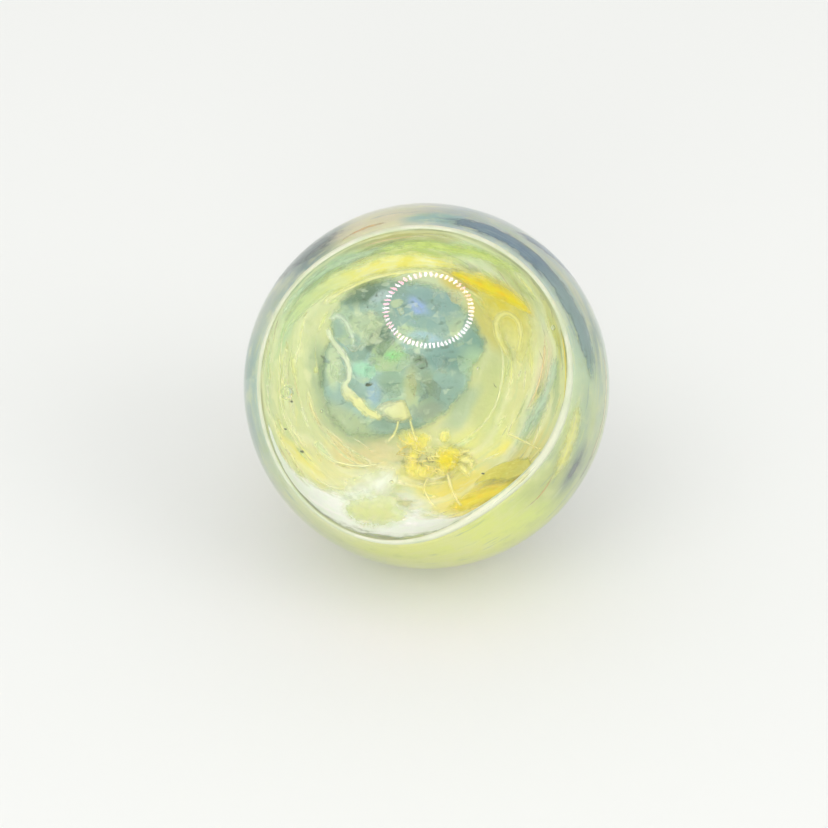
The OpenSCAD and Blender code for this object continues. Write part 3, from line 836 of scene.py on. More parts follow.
goldEdge = {
    "hues": [(238, 220, 12), (245, 234, 62), (236, 199, 4)],
    "fade": (0.95, 0.22, 0.25, 1.0),
    "form": (0.6, 0.3, 0.15, 24, 100, 0.3),
    "path": [
        (0.9, 11.4, 0.3), (2.8, 11.0, 0.9), (4.7, 10.3, 1.45), (6.8, 9.6, 1.65), (8.8, 8.7, 1.4),
        (10.6, 7.6, 0.9), (12.0, 6.2, 0.3),
    ],
}
goldWedge = {
    "hues": [(224, 213, 96), (232, 224, 124), (217, 203, 68)],
    "rich": (227, 225, 146),
    "fade": (0.95, 0.3, 0.25, 1.0),
    "form": (0.35, 0.35, 0.0, 32, 90, 0.3),
    "path": [
        (2.2, 11.0, 0.8), (4.6, 9.8, 2.2), (6.6, 8.4, 3.4), (8.2, 6.6, 3.9), (8.9, 4.6, 3.4),
        (8.9, 2.6, 2.1), (8.4, 0.8, 0.6),
    ],
}


def crestTone(at):
    return 0.9 * clamp((-5.6 - at.x) / 6)


def wedgeTone(at):
    return clamp((7.2 - at.y) / 3)


def makeCrest():
    drawPiece("crestFold", crestFold, "crest_fold", finish="yellowFold", tone=crestTone)
    drawPiece("crestEdge", crestEdge, slot="crest_fold", finish="creamEdge")
    drawPiece("goldEdge", goldEdge, slot="gold_wedge")
    drawPiece("goldWedge", goldWedge, "gold_wedge", finish="goldSheet", tone=wedgeTone)


# strands, loop and threads
innerStrand = {
    "hues": [(230, 240, 210), (247, 251, 236), (216, 228, 184)],
    "rich": (236, 236, 168),
    "fade": (0.62, 0.08, 0.55, 0.88),
    "form": (0.1, 0.4, 0.08, 16, 120, 0.05),
    "path": [
        (-9.2, 5.6, 0.2), (-9.0, 4.6, 0.38), (-8.3, 3.1, 0.42), (-7.9, 2.1, 0.4), (-7.8, 0.8, 0.38),
        (-8.0, -0.1, 0.55), (-7.4, -1.1, 0.85), (-6.6, -1.9, 0.85), (-5.7, -2.5, 0.65),
        (-4.8, -2.8, 0.5), (-3.9, -3.0, 0.3),
    ],
    "cream": [
        (-5.2, -2.2), (-4.7, -1.7), (-3.5, -1.3), (-2.3, -1.3), (-1.6, -3.0), (-2.3, -3.3), (-3.7, -3.3),
        (-4.8, -2.9),
    ],
}
paleArch = {
    "hues": [(228, 240, 222), (246, 251, 242), (208, 224, 200)],
    "fade": (0.8, 0.12, 0.5, 0.85),
    "form": (0.12, 0.3, 0.06, 14, 60, 0.05),
    "path": [
        (-9.0, 5.8, 0.3), (-8.7, 6.4, 0.5), (-8.1, 6.4, 0.55), (-7.7, 5.7, 0.55), (-7.4, 4.7, 0.5),
        (-7.2, 3.6, 0.2),
    ],
}
paleLoop = {
    "hues": [(238, 237, 164), (246, 245, 194), (230, 226, 136)],
    "fade": (0.95, 0.12, 0.3, 0.75),
    "form": (0.08, 0.2, 0.34, 14, 150, 0.05),
    "path": [
        (7.9, 2.3, 0.3), (7.2, 3.2, 0.5), (6.5, 4.4, 0.6), (6.3, 5.6, 0.62), (6.9, 6.6, 0.62),
        (7.9, 6.9, 0.62), (8.9, 6.3, 0.6), (9.2, 5.0, 0.55), (8.8, 3.6, 0.5), (8.1, 2.4, 0.3),
    ],
}
stringers = {
    "hues": [(246, 245, 180), (251, 251, 214), (240, 235, 142)],
    "fade": (0.95, 0.2, 0.35, 0.85),
    "form": (0.14, 0.2, 0.14, 12, 60, 0.05),
    "paths": [
        [(1.7, -7.6, 0.3), (2.1, -8.8, 0.26), (2.8, -10.4, 0.24), (3.7, -11.9, 0.26), (4.9, -13.4, 0.3)],
        [(0.2, -8.0, 0.28), (-0.2, -9.4, 0.24), (0.4, -10.8, 0.22), (1.4, -12.2, 0.2)],
        [(7.4, -4.3, 0.3), (10.2, -5.6, 0.24), (14.4, -7.6, 0.2)],
        [(-2.9, -3.0, 0.2), (-3.1, -3.9, 0.22), (-3.9, -5.1, 0.16)],
        [(-1.9, -2.9, 0.22), (-1.6, -3.9, 0.24), (-1.2, -5.0, 0.2)],
    ],
}
knotRays = {
    "hues": [(243, 243, 168), (250, 250, 204), (240, 236, 132)],
    "fade": (1.0, 0.35, 0.4, 0.85),
    "form": (0.05, 0.2, 0.08, 14, 36, 0.05),
    "at": (2.3, -6.2),
    "count": 6,
    "from": 8,
    "to": -52,
    "short": 2.0,
    "long": 3.3,
}
swirlArcs = {
    "hues": [(238, 243, 192), (248, 250, 216), (228, 234, 166)],
    "fade": (0.9, 0.25, 0.3, 0.8),
    "form": (0.15, 0.1, 0.05, 12, 90, 0.05),
    "paths": [
        [
            (5.4, 6.6, 0.08), (6.3, 4.6, 0.16), (6.7, 1.8, 0.18), (6.1, -1.5, 0.2), (4.6, -3.7, 0.2),
            (1.8, -5.7, 0.1),
        ],
        [(11.6, 7.2, 0.08), (12.4, 4.4, 0.16), (12.2, 1.6, 0.2), (11.5, -0.8, 0.16), (10.6, -2.6, 0.06)],
        [
            (-12.8, 8.2, 0.1), (-14.2, 4.0, 0.22), (-14.0, -1.0, 0.26), (-12.2, -5.4, 0.22),
            (-9.0, -8.4, 0.1),
        ],
        [(-10.6, -5.2, 0.1), (-8.4, -6.8, 0.22), (-5.8, -7.2, 0.2), (-3.4, -6.6, 0.1)],
        [(-10.4, -8.8, 0.1), (-8.8, -9.6, 0.2), (-7.0, -9.9, 0.1)],
    ],
}


def makeStrand():
    bm = bmesh.new()
    layers = bm.verts.layers.float
    shares, _, tones = layers.new("along"), layers.new("across"), layers.new("tone")
    rise, root, lift, around, along, blunt = innerStrand["form"]
    for vert in drawGlass(bm, innerStrand["path"], rise, root, lift, moundPoint, around, along, blunt):
        vert[tones] = clamp((0.6 - vert.co.y) / 2)
    for vert in layFacet(bm, innerStrand["cream"], 0.1, 0.08, 0.5):
        vert[shares], vert[tones] = 0.5, clamp((vert.co.x + 5.2) / 3.2)
    bmesh.ops.recalc_face_normals(bm, faces=bm.faces)
    finish = drawnFinish("creamStrand", innerStrand["hues"], innerStrand["fade"], innerStrand["rich"])
    finishPiece("innerStrand", bm, [finish], "inner_strand")


def rayPaths():
    dice = random.Random(3)
    spread = knotRays["to"] - knotRays["from"]
    paths = []
    for number in range(knotRays["count"]):
        bearing = math.radians(knotRays["from"] + spread * number / (knotRays["count"] - 1))
        x, y = knotRays["at"][0] + dice.uniform(-0.5, 0.5), knotRays["at"][1] + dice.uniform(-0.4, 0.4)
        reach, bend = dice.uniform(knotRays["short"], knotRays["long"]), dice.uniform(-0.35, 0.35)
        path = [(x, y, 0.5)]
        path.append((x + reach * 0.5 * math.cos(bearing), y + reach * 0.5 * math.sin(bearing), 0.55))
        path.append((x + reach * math.cos(bearing + bend), y + reach * math.sin(bearing + bend), 0.35))
        paths.append(path)
    return paths


def makeStrands():
    makeStrand()
    drawPiece("paleArch", paleArch, slot="inner_strand", surface=moundPoint)
    drawPiece("paleLoop", paleLoop, "pale_loop")
    drawPiece("stringers", stringers, "stringers", surface=moundPoint, finish="yellowThread")
    rays = {**knotRays, "paths": rayPaths()}
    drawPiece("knotRays", rays, slot="stringers", surface=moundPoint, finish="paleRay")
    drawPiece("swirlArcs", swirlArcs, slot="cup", finish="paleTurn")


# wisps combed round the core by the swirl
wisps = {
    "count": 170,
    "centre": (-1.8, 2.4),
    "near": 8.2,
    "far": 17.5,
    "lift": 0.02,
    "hues": [  # share up to which each colour is used
        (0.0, (246, 248, 214)),
        (0.25, (238, 240, 178)),
        (0.45, (240, 240, 150)),
        (0.6, (208, 230, 190)),
        (0.78, (214, 226, 158)),
        (0.9, (232, 220, 168)),
        (1.0, (196, 210, 150)),
    ],
}


def makeWisps():
    dice = random.Random(11)
    bm = bmesh.new()
    tones = bm.verts.layers.float.new("tone")
    made = 0
    while made < wisps["count"]:
        away, bearing = dice.uniform(wisps["near"], wisps["far"]), dice.uniform(0, 2 * math.pi)
        sweep = dice.uniform(1.2, 6.5) / away * dice.choice((-1, 1))
        drift, half = dice.uniform(-0.5, 0.5), dice.triangular(0.08, 0.7, 0.2)
        path = []
        for step in range(5):
            turn = bearing + sweep * step / 4
            out = away + drift * step / 2
            x = wisps["centre"][0] + out * math.cos(turn)
            y = wisps["centre"][1] + out * math.sin(turn)
            path.append((x, y, half * (0.3 + 0.7 * math.sin(math.pi * step / 4))))
        if max(math.hypot(x, y) for x, y, _ in path) > mouthRadius - 0.6:
            continue
        tone = dice.random()
        for vert in drawGlass(bm, path, 0.02, 0.1, wisps["lift"], around=12, along=22):
            vert[tones] = tone
        made += 1
    body = [(230, 236, 176), (248, 249, 214), (220, 228, 160)]
    finish = drawnFinish("combedGlass", body, (1.0, 0.45, 0.3, 0.7))
    tree = finish.node_tree
    feed(tree.nodes["Principled BSDF"], "Base Color", Wire(tree).attribute("tone").ramp(wisps["hues"]))
    finishPiece("swirlWisps", bm, [finish])


# yellow knot
yellowKnot = {
    "hues": [(242, 239, 136), (250, 248, 184), (240, 232, 100)],
    "rich": (240, 226, 40),
    "fade": (1.0, 0.4, 0.3, 0.9),
    "at": (0.4, -6.1),
    "folds": 6,
    "ring": 1.7,
    "twists": [  # rise, how rich its yellow is, then x, y and half width along it
        (
            0.12,
            0.35,
            [
                (-3.4, -4.0, 0.5), (-2.4, -4.4, 1.2), (-1.4, -4.9, 1.5), (-0.4, -5.6, 1.3),
                (0.4, -6.4, 0.6),
            ],
        ),
        (
            0.16,
            0.8,
            [(-0.4, -6.0, 0.8), (0.8, -6.3, 1.6), (1.8, -6.8, 1.8), (2.8, -7.3, 1.3), (3.6, -8.2, 0.4)],
        ),
        (0.22, 1.0, [(0.4, -6.2, 0.8), (1.2, -6.6, 1.1), (2.0, -7.0, 1.1), (2.6, -7.2, 0.7)]),
        (
            0.1,
            0.3,
            [
                (-1.4, -4.4, 0.4), (-1.2, -5.4, 0.8), (-1.5, -6.6, 0.9), (-1.2, -7.8, 0.8),
                (-0.2, -8.6, 0.4),
            ],
        ),
        (0.12, 0.4, [(0.4, -5.3, 0.5), (1.6, -5.8, 1.0), (2.6, -6.2, 0.9), (3.8, -6.5, 0.4)]),
        (
            0.08,
            0.0,
            [(-3.4, -6.6, 0.4), (-2.0, -7.3, 1.2), (-0.6, -7.7, 1.4), (0.8, -7.9, 0.9), (1.8, -8.4, 0.4)],
        ),
    ],
}
knotStrokes = {
    "hues": [(248, 244, 160), (252, 251, 206), (236, 214, 92)],
    "fade": (0.8, 0.3, 0.3, 0.85),
    "form": (0.06, 0.25, 0.2, 10, 24, 0.4),
    "count": 34,
    # x, y, reach across and up
    "patches": [(-1.4, -5.4, 1.5, 0.9), (-0.6, -6.8, 1.8, 0.8), (1.8, -7.0, 1.6, 0.8)],
}


def strokePaths():
    dice = random.Random(19)
    paths = []
    for _ in range(knotStrokes["count"]):
        x, y, wide, high = dice.choice(knotStrokes["patches"])
        x, y = x + dice.uniform(-wide, wide), y + dice.uniform(-high, high)
        bearing, reach = dice.uniform(-1.2, 0.9), dice.uniform(0.3, 1.2)
        half, bow = dice.uniform(0.06, 0.14), dice.uniform(-0.9, 0.9)
        turns = [(k * reach, bearing + k * bow) for k in (-1, 0, 1)]
        paths.append([(x + far * math.cos(turn), y + far * math.sin(turn), half) for far, turn in turns])
    return paths


def makeKnot():
    bm = bmesh.new()
    tones = bm.verts.layers.float.new("tone")
    for rise, tone, path in yellowKnot["twists"]:
        for vert in drawGlass(bm, path, rise, 0.5, 0.05, moundPoint, around=24, along=60, blunt=0.35):
            vert[tones] = tone
    for number in range(yellowKnot["folds"]):
        bearing = math.radians(number * 360 / yellowKnot["folds"])
        x = yellowKnot["at"][0] + yellowKnot["ring"] * math.cos(bearing)
        y = yellowKnot["at"][1] + yellowKnot["ring"] * math.sin(bearing)
        path = [(x - 0.5 * math.cos(bearing), y - 0.5 * math.sin(bearing), 0.6), (x, y, 1.0)]
        path.append((x + 1.4 * math.cos(bearing + 0.4), y + 1.4 * math.sin(bearing + 0.4), 0.5))
        drawGlass(bm, path, 0.1, 0.4, 0.04, moundPoint, around=20, along=36, blunt=0.4)
    finish = drawnFinish("yellowKnot", yellowKnot["hues"], yellowKnot["fade"], yellowKnot["rich"])
    finishPiece("yellowKnot", bm, [finish], "yellow_knot")
    strokes = {**knotStrokes, "paths": strokePaths()}
    drawPiece("knotStrokes", strokes, slot="yellow_knot", surface=moundPoint, finish="goldStroke")


# leaf, pools and bands
amberLeaf = {
    "hues": [(217, 215, 102), (232, 230, 134), (203, 197, 78)],
    "fade": (0.35, 0.12, 0.2, 1.0),
    "form": (0.5, 0.35, 0.1, 28, 80, 0.35),
    "path": [
        (4.8, -9.9, 0.2), (6.4, -9.2, 0.9), (8.6, -8.9, 1.7), (11.0, -9.4, 2.0), (13.2, -10.2, 1.4),
        (14.8, -11.2, 0.2),
    ],
}
amberEdge = {
    "hues": [(241, 229, 62), (247, 240, 106), (239, 216, 46)],
    "fade": (0.9, 0.2, 0.15, 1.0),
    "runs": [
        (
            (0.12, 0.35, 0.0, 24, 80, 0.2),
            [
                (1.8, -12.3, 1.0), (4.0, -12.2, 2.1), (6.2, -12.0, 2.8), (8.8, -11.9, 2.9),
                (11.4, -11.9, 2.3), (13.6, -11.6, 1.5), (15.2, -10.8, 0.5),
            ],
        ),
        (
            (0.3, 0.2, 0.0, 16, 80, 0.3),
            [(16.0, 6.6, 0.2), (16.5, 4.2, 0.6), (16.7, 1.6, 0.65), (16.7, -0.8, 0.5), (16.5, -2.8, 0.2)],
        ),
    ],
}
whitePool = {
    "hues": [(244, 252, 246), (252, 255, 252), (235, 248, 233)],
    "fade": (0.5, 0.04, 0.35, 1.0),
    "form": (0.45, 0.35, 0.0, 32, 200, 0.04),
    "path": [
        (-16.6, -4.0, 0.3), (-15.8, -7.0, 0.9), (-14.2, -9.6, 1.9), (-11.6, -11.6, 2.9),
        (-8.4, -12.8, 3.7), (-4.8, -13.2, 4.2), (-1.0, -14.6, 3.4), (2.6, -15.6, 2.3), (6.4, -15.8, 1.4),
        (10.0, -14.6, 0.7), (13.0, -12.3, 0.45), (15.3, -9.0, 0.4), (16.7, -5.2, 0.35),
        (17.2, -1.6, 0.3),
    ],
}
poolFlame = {
    "hues": [(234, 246, 230), (246, 252, 242), (228, 241, 216)],
    "fade": (1.0, 0.4, 0.2, 1.0),
    "form": (0.12, 0.3, 0.04, 24, 70, 0.2),
    "path": [
        (-9.6, -13.0, 2.0), (-7.6, -11.4, 3.2), (-5.8, -10.2, 3.3), (-4.2, -8.9, 2.6), (-3.0, -7.4, 1.3),
        (-2.4, -6.6, 0.4),
    ],
}
limeDrop = {
    "hues": [(218, 228, 160), (230, 237, 182), (208, 221, 146)],
    "fade": (0.9, 0.25, 0.3, 0.95),
    "form": (0.2, 0.3, 0.46, 28, 60, 0.45),
    "path": [(-8.2, -12.7, 1.6), (-6.0, -12.4, 3.2), (-3.6, -12.5, 3.6), (-0.6, -13.3, 2.2)],
}
mintStreak = {
    "hues": [(200, 222, 198), (226, 238, 214), (186, 212, 190)],
    "fade": (0.9, 0.3, 0.5, 0.9),
    "form": (0.25, 0.35, 0.0, 24, 80, 0.3),
    "path": [
        (8.4, -6.6, 0.4), (10.2, -4.4, 1.3), (11.9, -1.8, 1.5), (13.2, 0.8, 1.4), (14.2, 3.4, 1.1),
        (15.2, 5.8, 0.4),
    ],
}
oliveBand = {
    "hues": [(216, 232, 136), (234, 244, 164), (200, 218, 112)],
    "fade": (0.9, 0.3, 0.5, 0.95),
    "form": (0.25, 0.35, 0.0, 24, 140, 0.12),
    "path": [
        (13.4, 10.0, 0.5), (10.4, 11.9, 1.1), (6.6, 13.2, 1.4), (2.0, 14.0, 1.3), (-3.0, 13.9, 1.1),
        (-8.0, 12.7, 0.8),
    ],
}
mintBand = {
    "hues": [(202, 227, 198), (224, 242, 214), (182, 210, 176)],
    "fade": (0.9, 0.3, 0.5, 0.9),
    "form": (0.15, 0.2, 0.05, 24, 120, 0.12),
    "path": [
        (-15.4, 5.4, 0.5), (-13.9, 8.8, 1.1), (-11.1, 11.5, 1.4), (-7.4, 13.3, 1.2), (-3.6, 14.0, 0.7),
        (-0.6, 14.1, 0.3),
    ],
}
peachLines = {
    "hues": [(242, 222, 170), (246, 236, 200), (236, 202, 132)],
    "fade": (0.9, 0.3, 0.5, 0.8),
    "runs": [
        (
            (0.15, 0.2, 0.1, 14, 80, 0.2),
            [
                (-7.4, 14.6, 0.15), (-5.4, 15.3, 0.4), (-3.0, 15.7, 0.5), (-0.4, 15.8, 0.4),
                (2.0, 15.6, 0.15),
            ],
        ),
        (
            (0.1, 0.2, 0.1, 14, 80, 0.2),
            [(8.6, -3.6, 0.1), (10.4, -1.4, 0.3), (11.6, 1.4, 0.34), (12.2, 4.2, 0.3), (12.4, 6.4, 0.1)],
        ),
    ],
}


def makeInlays():
    drawPiece("amberLeaf", amberLeaf, "amber_leaf")
    drawPiece("amberEdge", amberEdge, "amber_edge", finish="amberRod")
    drawPiece("whitePool", whitePool, "white_pool")
    drawPiece("poolFlame", poolFlame, slot="white_pool", finish="whiteFlame")
    drawPiece("limeDrop", limeDrop, "lime_drop")
    drawPiece("mintStreak", mintStreak, "mint_streak")
    drawPiece("oliveBand", oliveBand, "olive_band")
    drawPiece("mintBand", mintBand, slot="cup", finish="mintVeil")
    drawPiece("peachLines", peachLines, slot="cup", finish="peachVeil")


# lip line and veils on the wall
lipLine = {"thick": 0.39, "whiteAt": -42, "whiteSpread": 50, "whiteThick": 0.22}
slateVeil = {
    "hues": [(112, 144, 162), (144, 176, 184), (100, 132, 154)],
    "rich": (148, 176, 174),
    "fade": (0.42, 0.22, 0.4, 1.0),
    "runs": [
        (
            (0.08, 0.5, 0.0, 28, 120, 0.12),
            [
                (90, 6.6, 0.6), (80, 6.3, 1.4), (66, 5.4, 2.3), (48, 5.0, 2.7), (34, 4.8, 2.8),
                (24, 4.4, 3.0), (14, 3.7, 2.8), (4, 3.0, 1.8), (-4, 2.6, 0.5),
            ],
        ),
        (
            (0.08, 0.5, 0.0, 24, 90, 0.12),
            [(62, 2.0, 0.6), (52, -1.6, 2.2), (40, -5.6, 2.4), (26, -9.6, 1.6), (8, -13.0, 0.4)],
        ),
    ],
}
greenSlate = {
    "hues": [(112, 134, 130), (150, 170, 160), (98, 120, 120)],
    "fade": (0.7, 0.3, 0.4, 1.0),
    "form": (0.08, 0.4, 0.0, 24, 70, 0.2),
    "path": [
        (112, 6.0, 0.8), (120, 4.9, 2.4), (129, 3.6, 3.6), (138, 1.6, 3.4), (150, -2.2, 2.4),
        (165, -6.4, 1.4), (182, -10.0, 0.4),
    ],
}
yellowStreak = {
    "hues": [(251, 250, 172), (253, 253, 206), (246, 241, 140)],
    "fade": (0.95, 0.3, 0.3, 1.0),
    "form": (0.1, 0.3, 0.0, 20, 60, 0.3),
    "path": [(-2, 6.8, 0.6), (-12, 6.1, 1.9), (-22, 5.4, 2.3), (-30, 4.7, 1.7), (-37, 4.0, 0.4)],
}
smokeVeil = {
    "hues": [(146, 154, 158), (170, 184, 184), (136, 138, 146)],
    "fade": (1.0, 0.4, 0.3, 0.9),
    "form": (0.1, 0.3, 0.0, 20, 60, 0.3),
    "path": [(-20, 1.6, 0.6), (-26, 1.4, 1.4), (-31, 1.3, 1.3), (-37, 1.4, 0.4)],
}
creamVeil = {
    "hues": [(238, 238, 190), (244, 246, 212), (230, 230, 176)],
    "fade": (0.8, 0.25, 0.5, 0.9),
    "form": (0.1, 0.3, 0.0, 20, 80, 0.3),
    "path": [(18, -2.4, 0.5), (4, -3.0, 1.2), (-10, -3.2, 1.3), (-24, -3.0, 0.9), (-36, -2.4, 0.3)],
}
flameVeils = {
    "hues": [(240, 208, 140), (248, 232, 176), (232, 180, 96)],
    "fade": (0.8, 0.3, 0.6, 0.9),
    "form": (0.1, 0.3, 0.0, 16, 60, 0.3),
    "paths": [
        [(121, 7.4, 0.2), (115, 6.6, 0.5), (107, 6.3, 0.55), (98, 6.6, 0.2)],
        [(-30, 5.6, 0.1), (-36, 4.7, 0.22), (-43, 4.2, 0.22), (-51, 4.4, 0.1)],
    ],
}


def makeLipLine():
    bm = bmesh.new()
    middle = lipRadius - milkyCup["lipWidth"] / 2
    seat = Matrix.Translation((middle, 0, milkyCup["lip"])) @ Matrix.Rotation(math.pi / 2, 4, "X")
    bmesh.ops.create_circle(bm, segments=14, radius=lipLine["thick"], matrix=seat)
    turnRound(bm, 220)
    for vert in bm.verts:  # it swells, inwards and up, where it runs on from the white pool
        bearing = math.atan2(vert.co.y, vert.co.x)
        away = (math.degrees(bearing) - lipLine["whiteAt"] + 180) % 360 - 180
        more = lipLine["whiteThick"] * math.exp(-((away / lipLine["whiteSpread"]) ** 4))
        ring = polar(middle, bearing, milkyCup["lip"])
        grow = 1 + more / lipLine["thick"]
        vert.co = ring + (vert.co - ring) * grow - polar(1, bearing, -0.5) * more * 0.7
    finish, shader, place = newFinish("lipGlass", 0.3, 0.2)
    cloud = place.grain(0.3, 3.0)
    colour = cloud.between(0.4, 0.65).blend(tint(240, 246, 220), tint(228, 238, 202))
    white = place.oval(12, -12, 9, 9, 0, 0.5)
    colour = white.blend(colour, tint(245, 247, 220))
    feed(shader, "Base Color", colour)
    feedBump(shader, place.grain(2.0, 3.0), 0.2, 0.0002)
    finishPiece("rimLine", bm, [finish], "rim_line")


def slateTone(at):  # paler towards the low end of the veil
    return clamp((48 - math.degrees(math.atan2(at.y, at.x))) / 16)


def makeVeils():
    wall = {"surface": wallPoint}
    drawPiece("slateVeil", slateVeil, "slate_veil", tone=slateTone, **wall)
    drawPiece("greenSlate", greenSlate, slot="slate_veil", **wall)
    drawPiece("yellowStreak", yellowStreak, slot="crest_fold", **wall)
    drawPiece("smokeVeil", smokeVeil, slot="slate_veil", **wall)
    drawPiece("creamVeil", creamVeil, slot="cup", **wall)
    drawPiece("flameVeils", flameVeils, slot="amber_edge", finish="flameVeil", **wall)


# bubbles and specks
bits = {
    "seed": 5,
    "bubbles": [  # x, y, lift, radius
        (-14.2, -0.9, 1.4, 0.75), (16.2, 6.4, 1.2, 0.3), (-9.9, -2.4, 0.8, 0.16), (5.2, 1.8, 2.0, 0.14),
        (-3.2, -9.4, 1.2, 0.18),
    ],
    "specks": [
        (-6.1, 0.1, 2.6, 0.2), (-11.6, -6.4, 0.3, 0.16), (-13.4, -4.4, 0.3, 0.12),
        (15.6, -8.4, 0.4, 0.16), (-12.6, -1.6, 0.3, 0.12), (6.3, -9.2, 0.8, 0.12),
    ],
}
oliveLines = {
    "hues": [(112, 126, 92), (140, 150, 112), (86, 100, 72)],
    "fade": (1.0, 0.3, 0.5, 0.8),
    "form": (0.03, 0.1, 0.04, 8, 24, 0.05),
    "paths": [
        [(-1.4, 2.6, 0.1), (-0.9, 2.9, 0.14), (-0.3, 2.5, 0.1)],
        [(-1.1, 2.2, 0.1), (-0.6, 1.9, 0.14), (-0.1, 2.1, 0.1)],
        [(-0.3, 3.0, 0.1), (0.0, 2.4, 0.12), (-0.1, 1.7, 0.08)],
        [(5.7, 0.5, 0.08), (5.9, 0.1, 0.12), (6.2, -0.1, 0.08)],
        [(-9.8, 2.8, 0.1), (-9.5, 2.4, 0.16), (-9.7, 1.9, 0.1)],
    ],
}


def makeBits():
    bm = bmesh.new()
    for x, y, lift, radius in bits["bubbles"]:
        seat = Matrix.Translation(dishPoint(x, y, lift))
        bmesh.ops.create_icosphere(bm, subdivisions=4, radius=radius, matrix=seat)
    finish, shader, _ = newFinish("airBubble", 0.0, 0.5)
    shader.inputs["Base Color"].default_value = tint(248, 252, 248)
    shader.inputs["Transmission Weight"].default_value = 1.0
    shader.inputs["IOR"].default_value = 1 / casing["index"]
    finishPiece("airBubbles", bm, [finish])
    bm = bmesh.new()
    noise.seed_set(bits["seed"])  # without it vector noise differs from run to run
    for x, y, lift, radius in bits["specks"]:
        seat = Matrix.Translation(dishPoint(x, y, lift)) @ Matrix.Diagonal((1.5, 0.7, 0.6, 1))
        made = bmesh.ops.create_icosphere(bm, subdivisions=2, radius=radius, matrix=seat)["verts"]
        for vert in made:
            vert.co += noise.noise_vector(vert.co * 5) * radius * 0.5
    finish, shader, place = newFinish("darkSpeck", 0.5, 0.2)
    colour = place.grain(6.0, 2.0).between(0.3, 0.7).blend(tint(70, 84, 74), tint(118, 128, 104))
    feed(shader, "Base Color", colour)
    finishPiece("specks", bm, [finish])
    drawPiece("oliveLines", oliveLines, slot="opal_flakes", surface=moundPoint, finish="oliveLine")


makeCasing()
makeCup()
print("casing and cup done")
makeCore()
makeFlakes()
makeFacets()
print("opal core done")
makeCrest()
makeStrands()
makeWisps()
makeKnot()
print("crest, strands and knot done")
makeInlays()
makeLipLine()
makeVeils()
makeBits()
print("inlays, lip line and veils done")

# floor, light and camera, in metres
studio = {
    "floor": (232, 233, 230),
    "world": 0.9,
    "lamps": [  # name, place, width and watts
        ("frontSoft", -0.12, -0.95, 0.12, 0.7, 3.8),
        ("leftSoft", -0.5, -0.4, 0.8, 0.6, 1.6),
        ("rightSoft", 0.6, -0.3, 0.5, 0.5, 1.2),
    ],
    "ringLamps": 57,
    "ringRadius": 0.0855,
    "ringHeight": 0.2,
    "ringGlow": 20.0,
    "lampLong": 0.0145,
    "lampWide": 0.0056,
    "ringAt": (0.0046, -0.0235),
    "warmAt": (2.6, 0.7),  # in radians, where the ring's light is warm
    "lens": 143.1,  # millimetres, as is the sensor
    "sensor": 36,
    "cameraRise": 38,
    "cameraAway": 0.45,
    "aim": (-0.0017, -0.00384),  # to the right and up
}


def makeStage():
    bm = bmesh.new()
    bmesh.ops.create_grid(bm, x_segments=1, y_segments=1, size=3)
    bmesh.ops.translate(bm, vec=(0, 0, -marble["radius"] / 1000), verts=bm.verts)
    mesh = bpy.data.meshes.new("floor")
    bm.to_mesh(mesh)
    bm.free()
    finish = bpy.data.materials.new("paleFloor")
    finish.use_nodes = True
    shader = finish.node_tree.nodes["Principled BSDF"]
    shader.inputs["Roughness"].default_value = 0.7
    shader.inputs["Specular IOR Level"].default_value = 0.2
    shader.inputs["Base Color"].default_value = tint(*studio["floor"])
    mesh.materials.append(finish)
    floor = bpy.data.objects.new("floor", mesh)
    bpy.context.scene.collection.objects.link(floor)


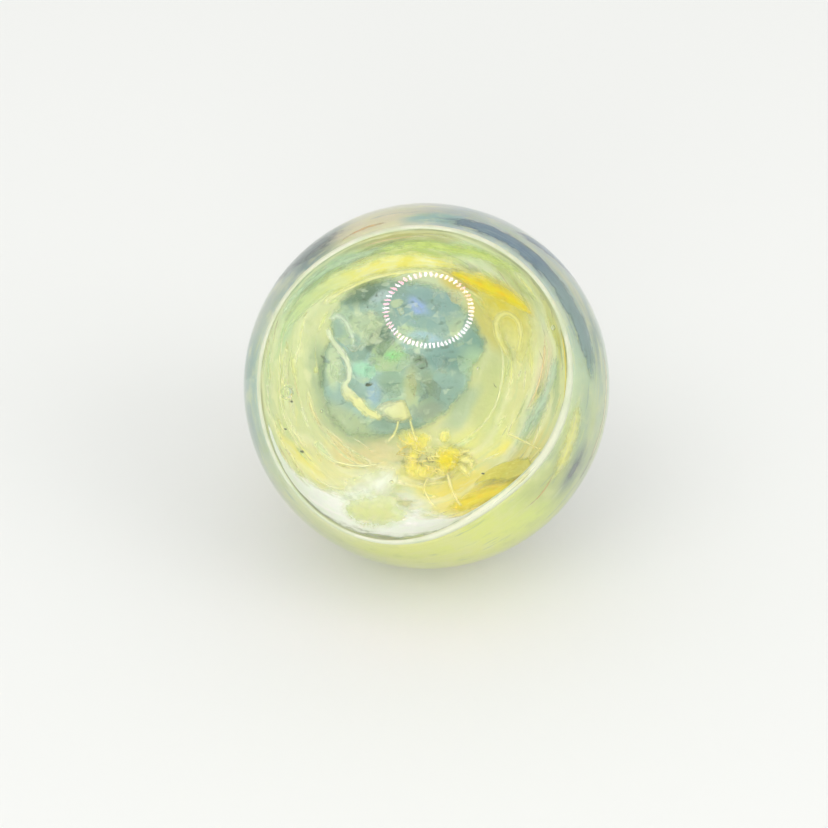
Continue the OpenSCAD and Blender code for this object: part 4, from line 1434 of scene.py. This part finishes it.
def makeLight():
    world = bpy.data.worlds.new("room")
    bpy.context.scene.world = world
    world.use_nodes = True
    tree = world.node_tree
    start = Wire(tree)
    seen = start.node("LightPath", out="Is Camera Ray") + start.node("LightPath", out="Is Glossy Ray")
    seen = seen + start.node("LightPath", out="Is Transmission Ray")
    seen = seen.sum("MINIMUM", seen, 1.0)
    light = start.node("Background", None, {"Color": (1, 1, 1, 1), "Strength": studio["world"]})
    shown = start.node("Background", None, {"Color": tint(236, 237, 235), "Strength": 1.0})
    mixed = start.node("MixShader", None, {0: seen, 1: light, 2: shown})
    tree.links.new(mixed.socket, tree.nodes["World Output"].inputs["Surface"])
    for name, x, y, z, size, watts in studio["lamps"]:
        lamp = bpy.data.lights.new(name, "AREA")
        lamp.shape = "DISK"
        lamp.size = size
        lamp.energy = watts
        soft = bpy.data.objects.new(name, lamp)
        turn = Vector((x, y, z)).to_track_quat("Z", "Y").to_matrix().to_4x4()
        soft.matrix_world = Matrix.Translation((x, y, z)) @ turn
        soft.visible_glossy = False
        soft.visible_transmission = False
        bpy.context.scene.collection.objects.link(soft)
    area = math.pi * studio["lampLong"] * studio["lampWide"] / 4
    for number in range(studio["ringLamps"]):
        turn = 2 * math.pi * number / studio["ringLamps"]
        lamp = bpy.data.lights.new("ringLamp", "AREA")
        lamp.shape = "ELLIPSE"
        lamp.size, lamp.size_y = studio["lampLong"], studio["lampWide"]
        lamp.energy = studio["ringGlow"] * area * math.pi
        warmAt, alsoAt = studio["warmAt"]
        warm = max(0.5 + 0.5 * math.cos(turn - warmAt), math.cos(turn - alsoAt) ** 5)
        warm = warm if number % 3 else 0.15
        lamp.color = (1.0, 0.8 - 0.5 * warm, 0.98 - 0.46 * warm)
        small = bpy.data.objects.new("ringLamp", lamp)
        small.location = (
            studio["ringAt"][0] + studio["ringRadius"] * math.cos(turn),
            studio["ringAt"][1] + studio["ringRadius"] * math.sin(turn),
            studio["ringHeight"],
        )
        small.rotation_euler = (0, 0, turn)
        small.visible_diffuse = False
        bpy.context.scene.collection.objects.link(small)


def makeCamera():
    lens = bpy.data.cameras.new("camera")
    lens.sensor_width = studio["sensor"]
    lens.lens = studio["lens"]
    camera = bpy.data.objects.new("camera", lens)
    rise = math.radians(studio["cameraRise"])
    stand = Vector((0, -math.cos(rise), math.sin(rise))) * studio["cameraAway"]
    right = Vector((1, 0, 0))
    up = Vector((0, math.sin(rise), math.cos(rise)))
    aim = right * studio["aim"][0] + up * studio["aim"][1]
    turn = (stand - aim).to_track_quat("Z", "Y").to_matrix().to_4x4()
    camera.matrix_world = Matrix.Translation(stand) @ turn
    bpy.context.scene.collection.objects.link(camera)
    bpy.context.scene.camera = camera


makeStage()
makeLight()
makeCamera()
bpy.context.scene.view_settings.view_transform = "Standard"
print("stage, light and camera done")
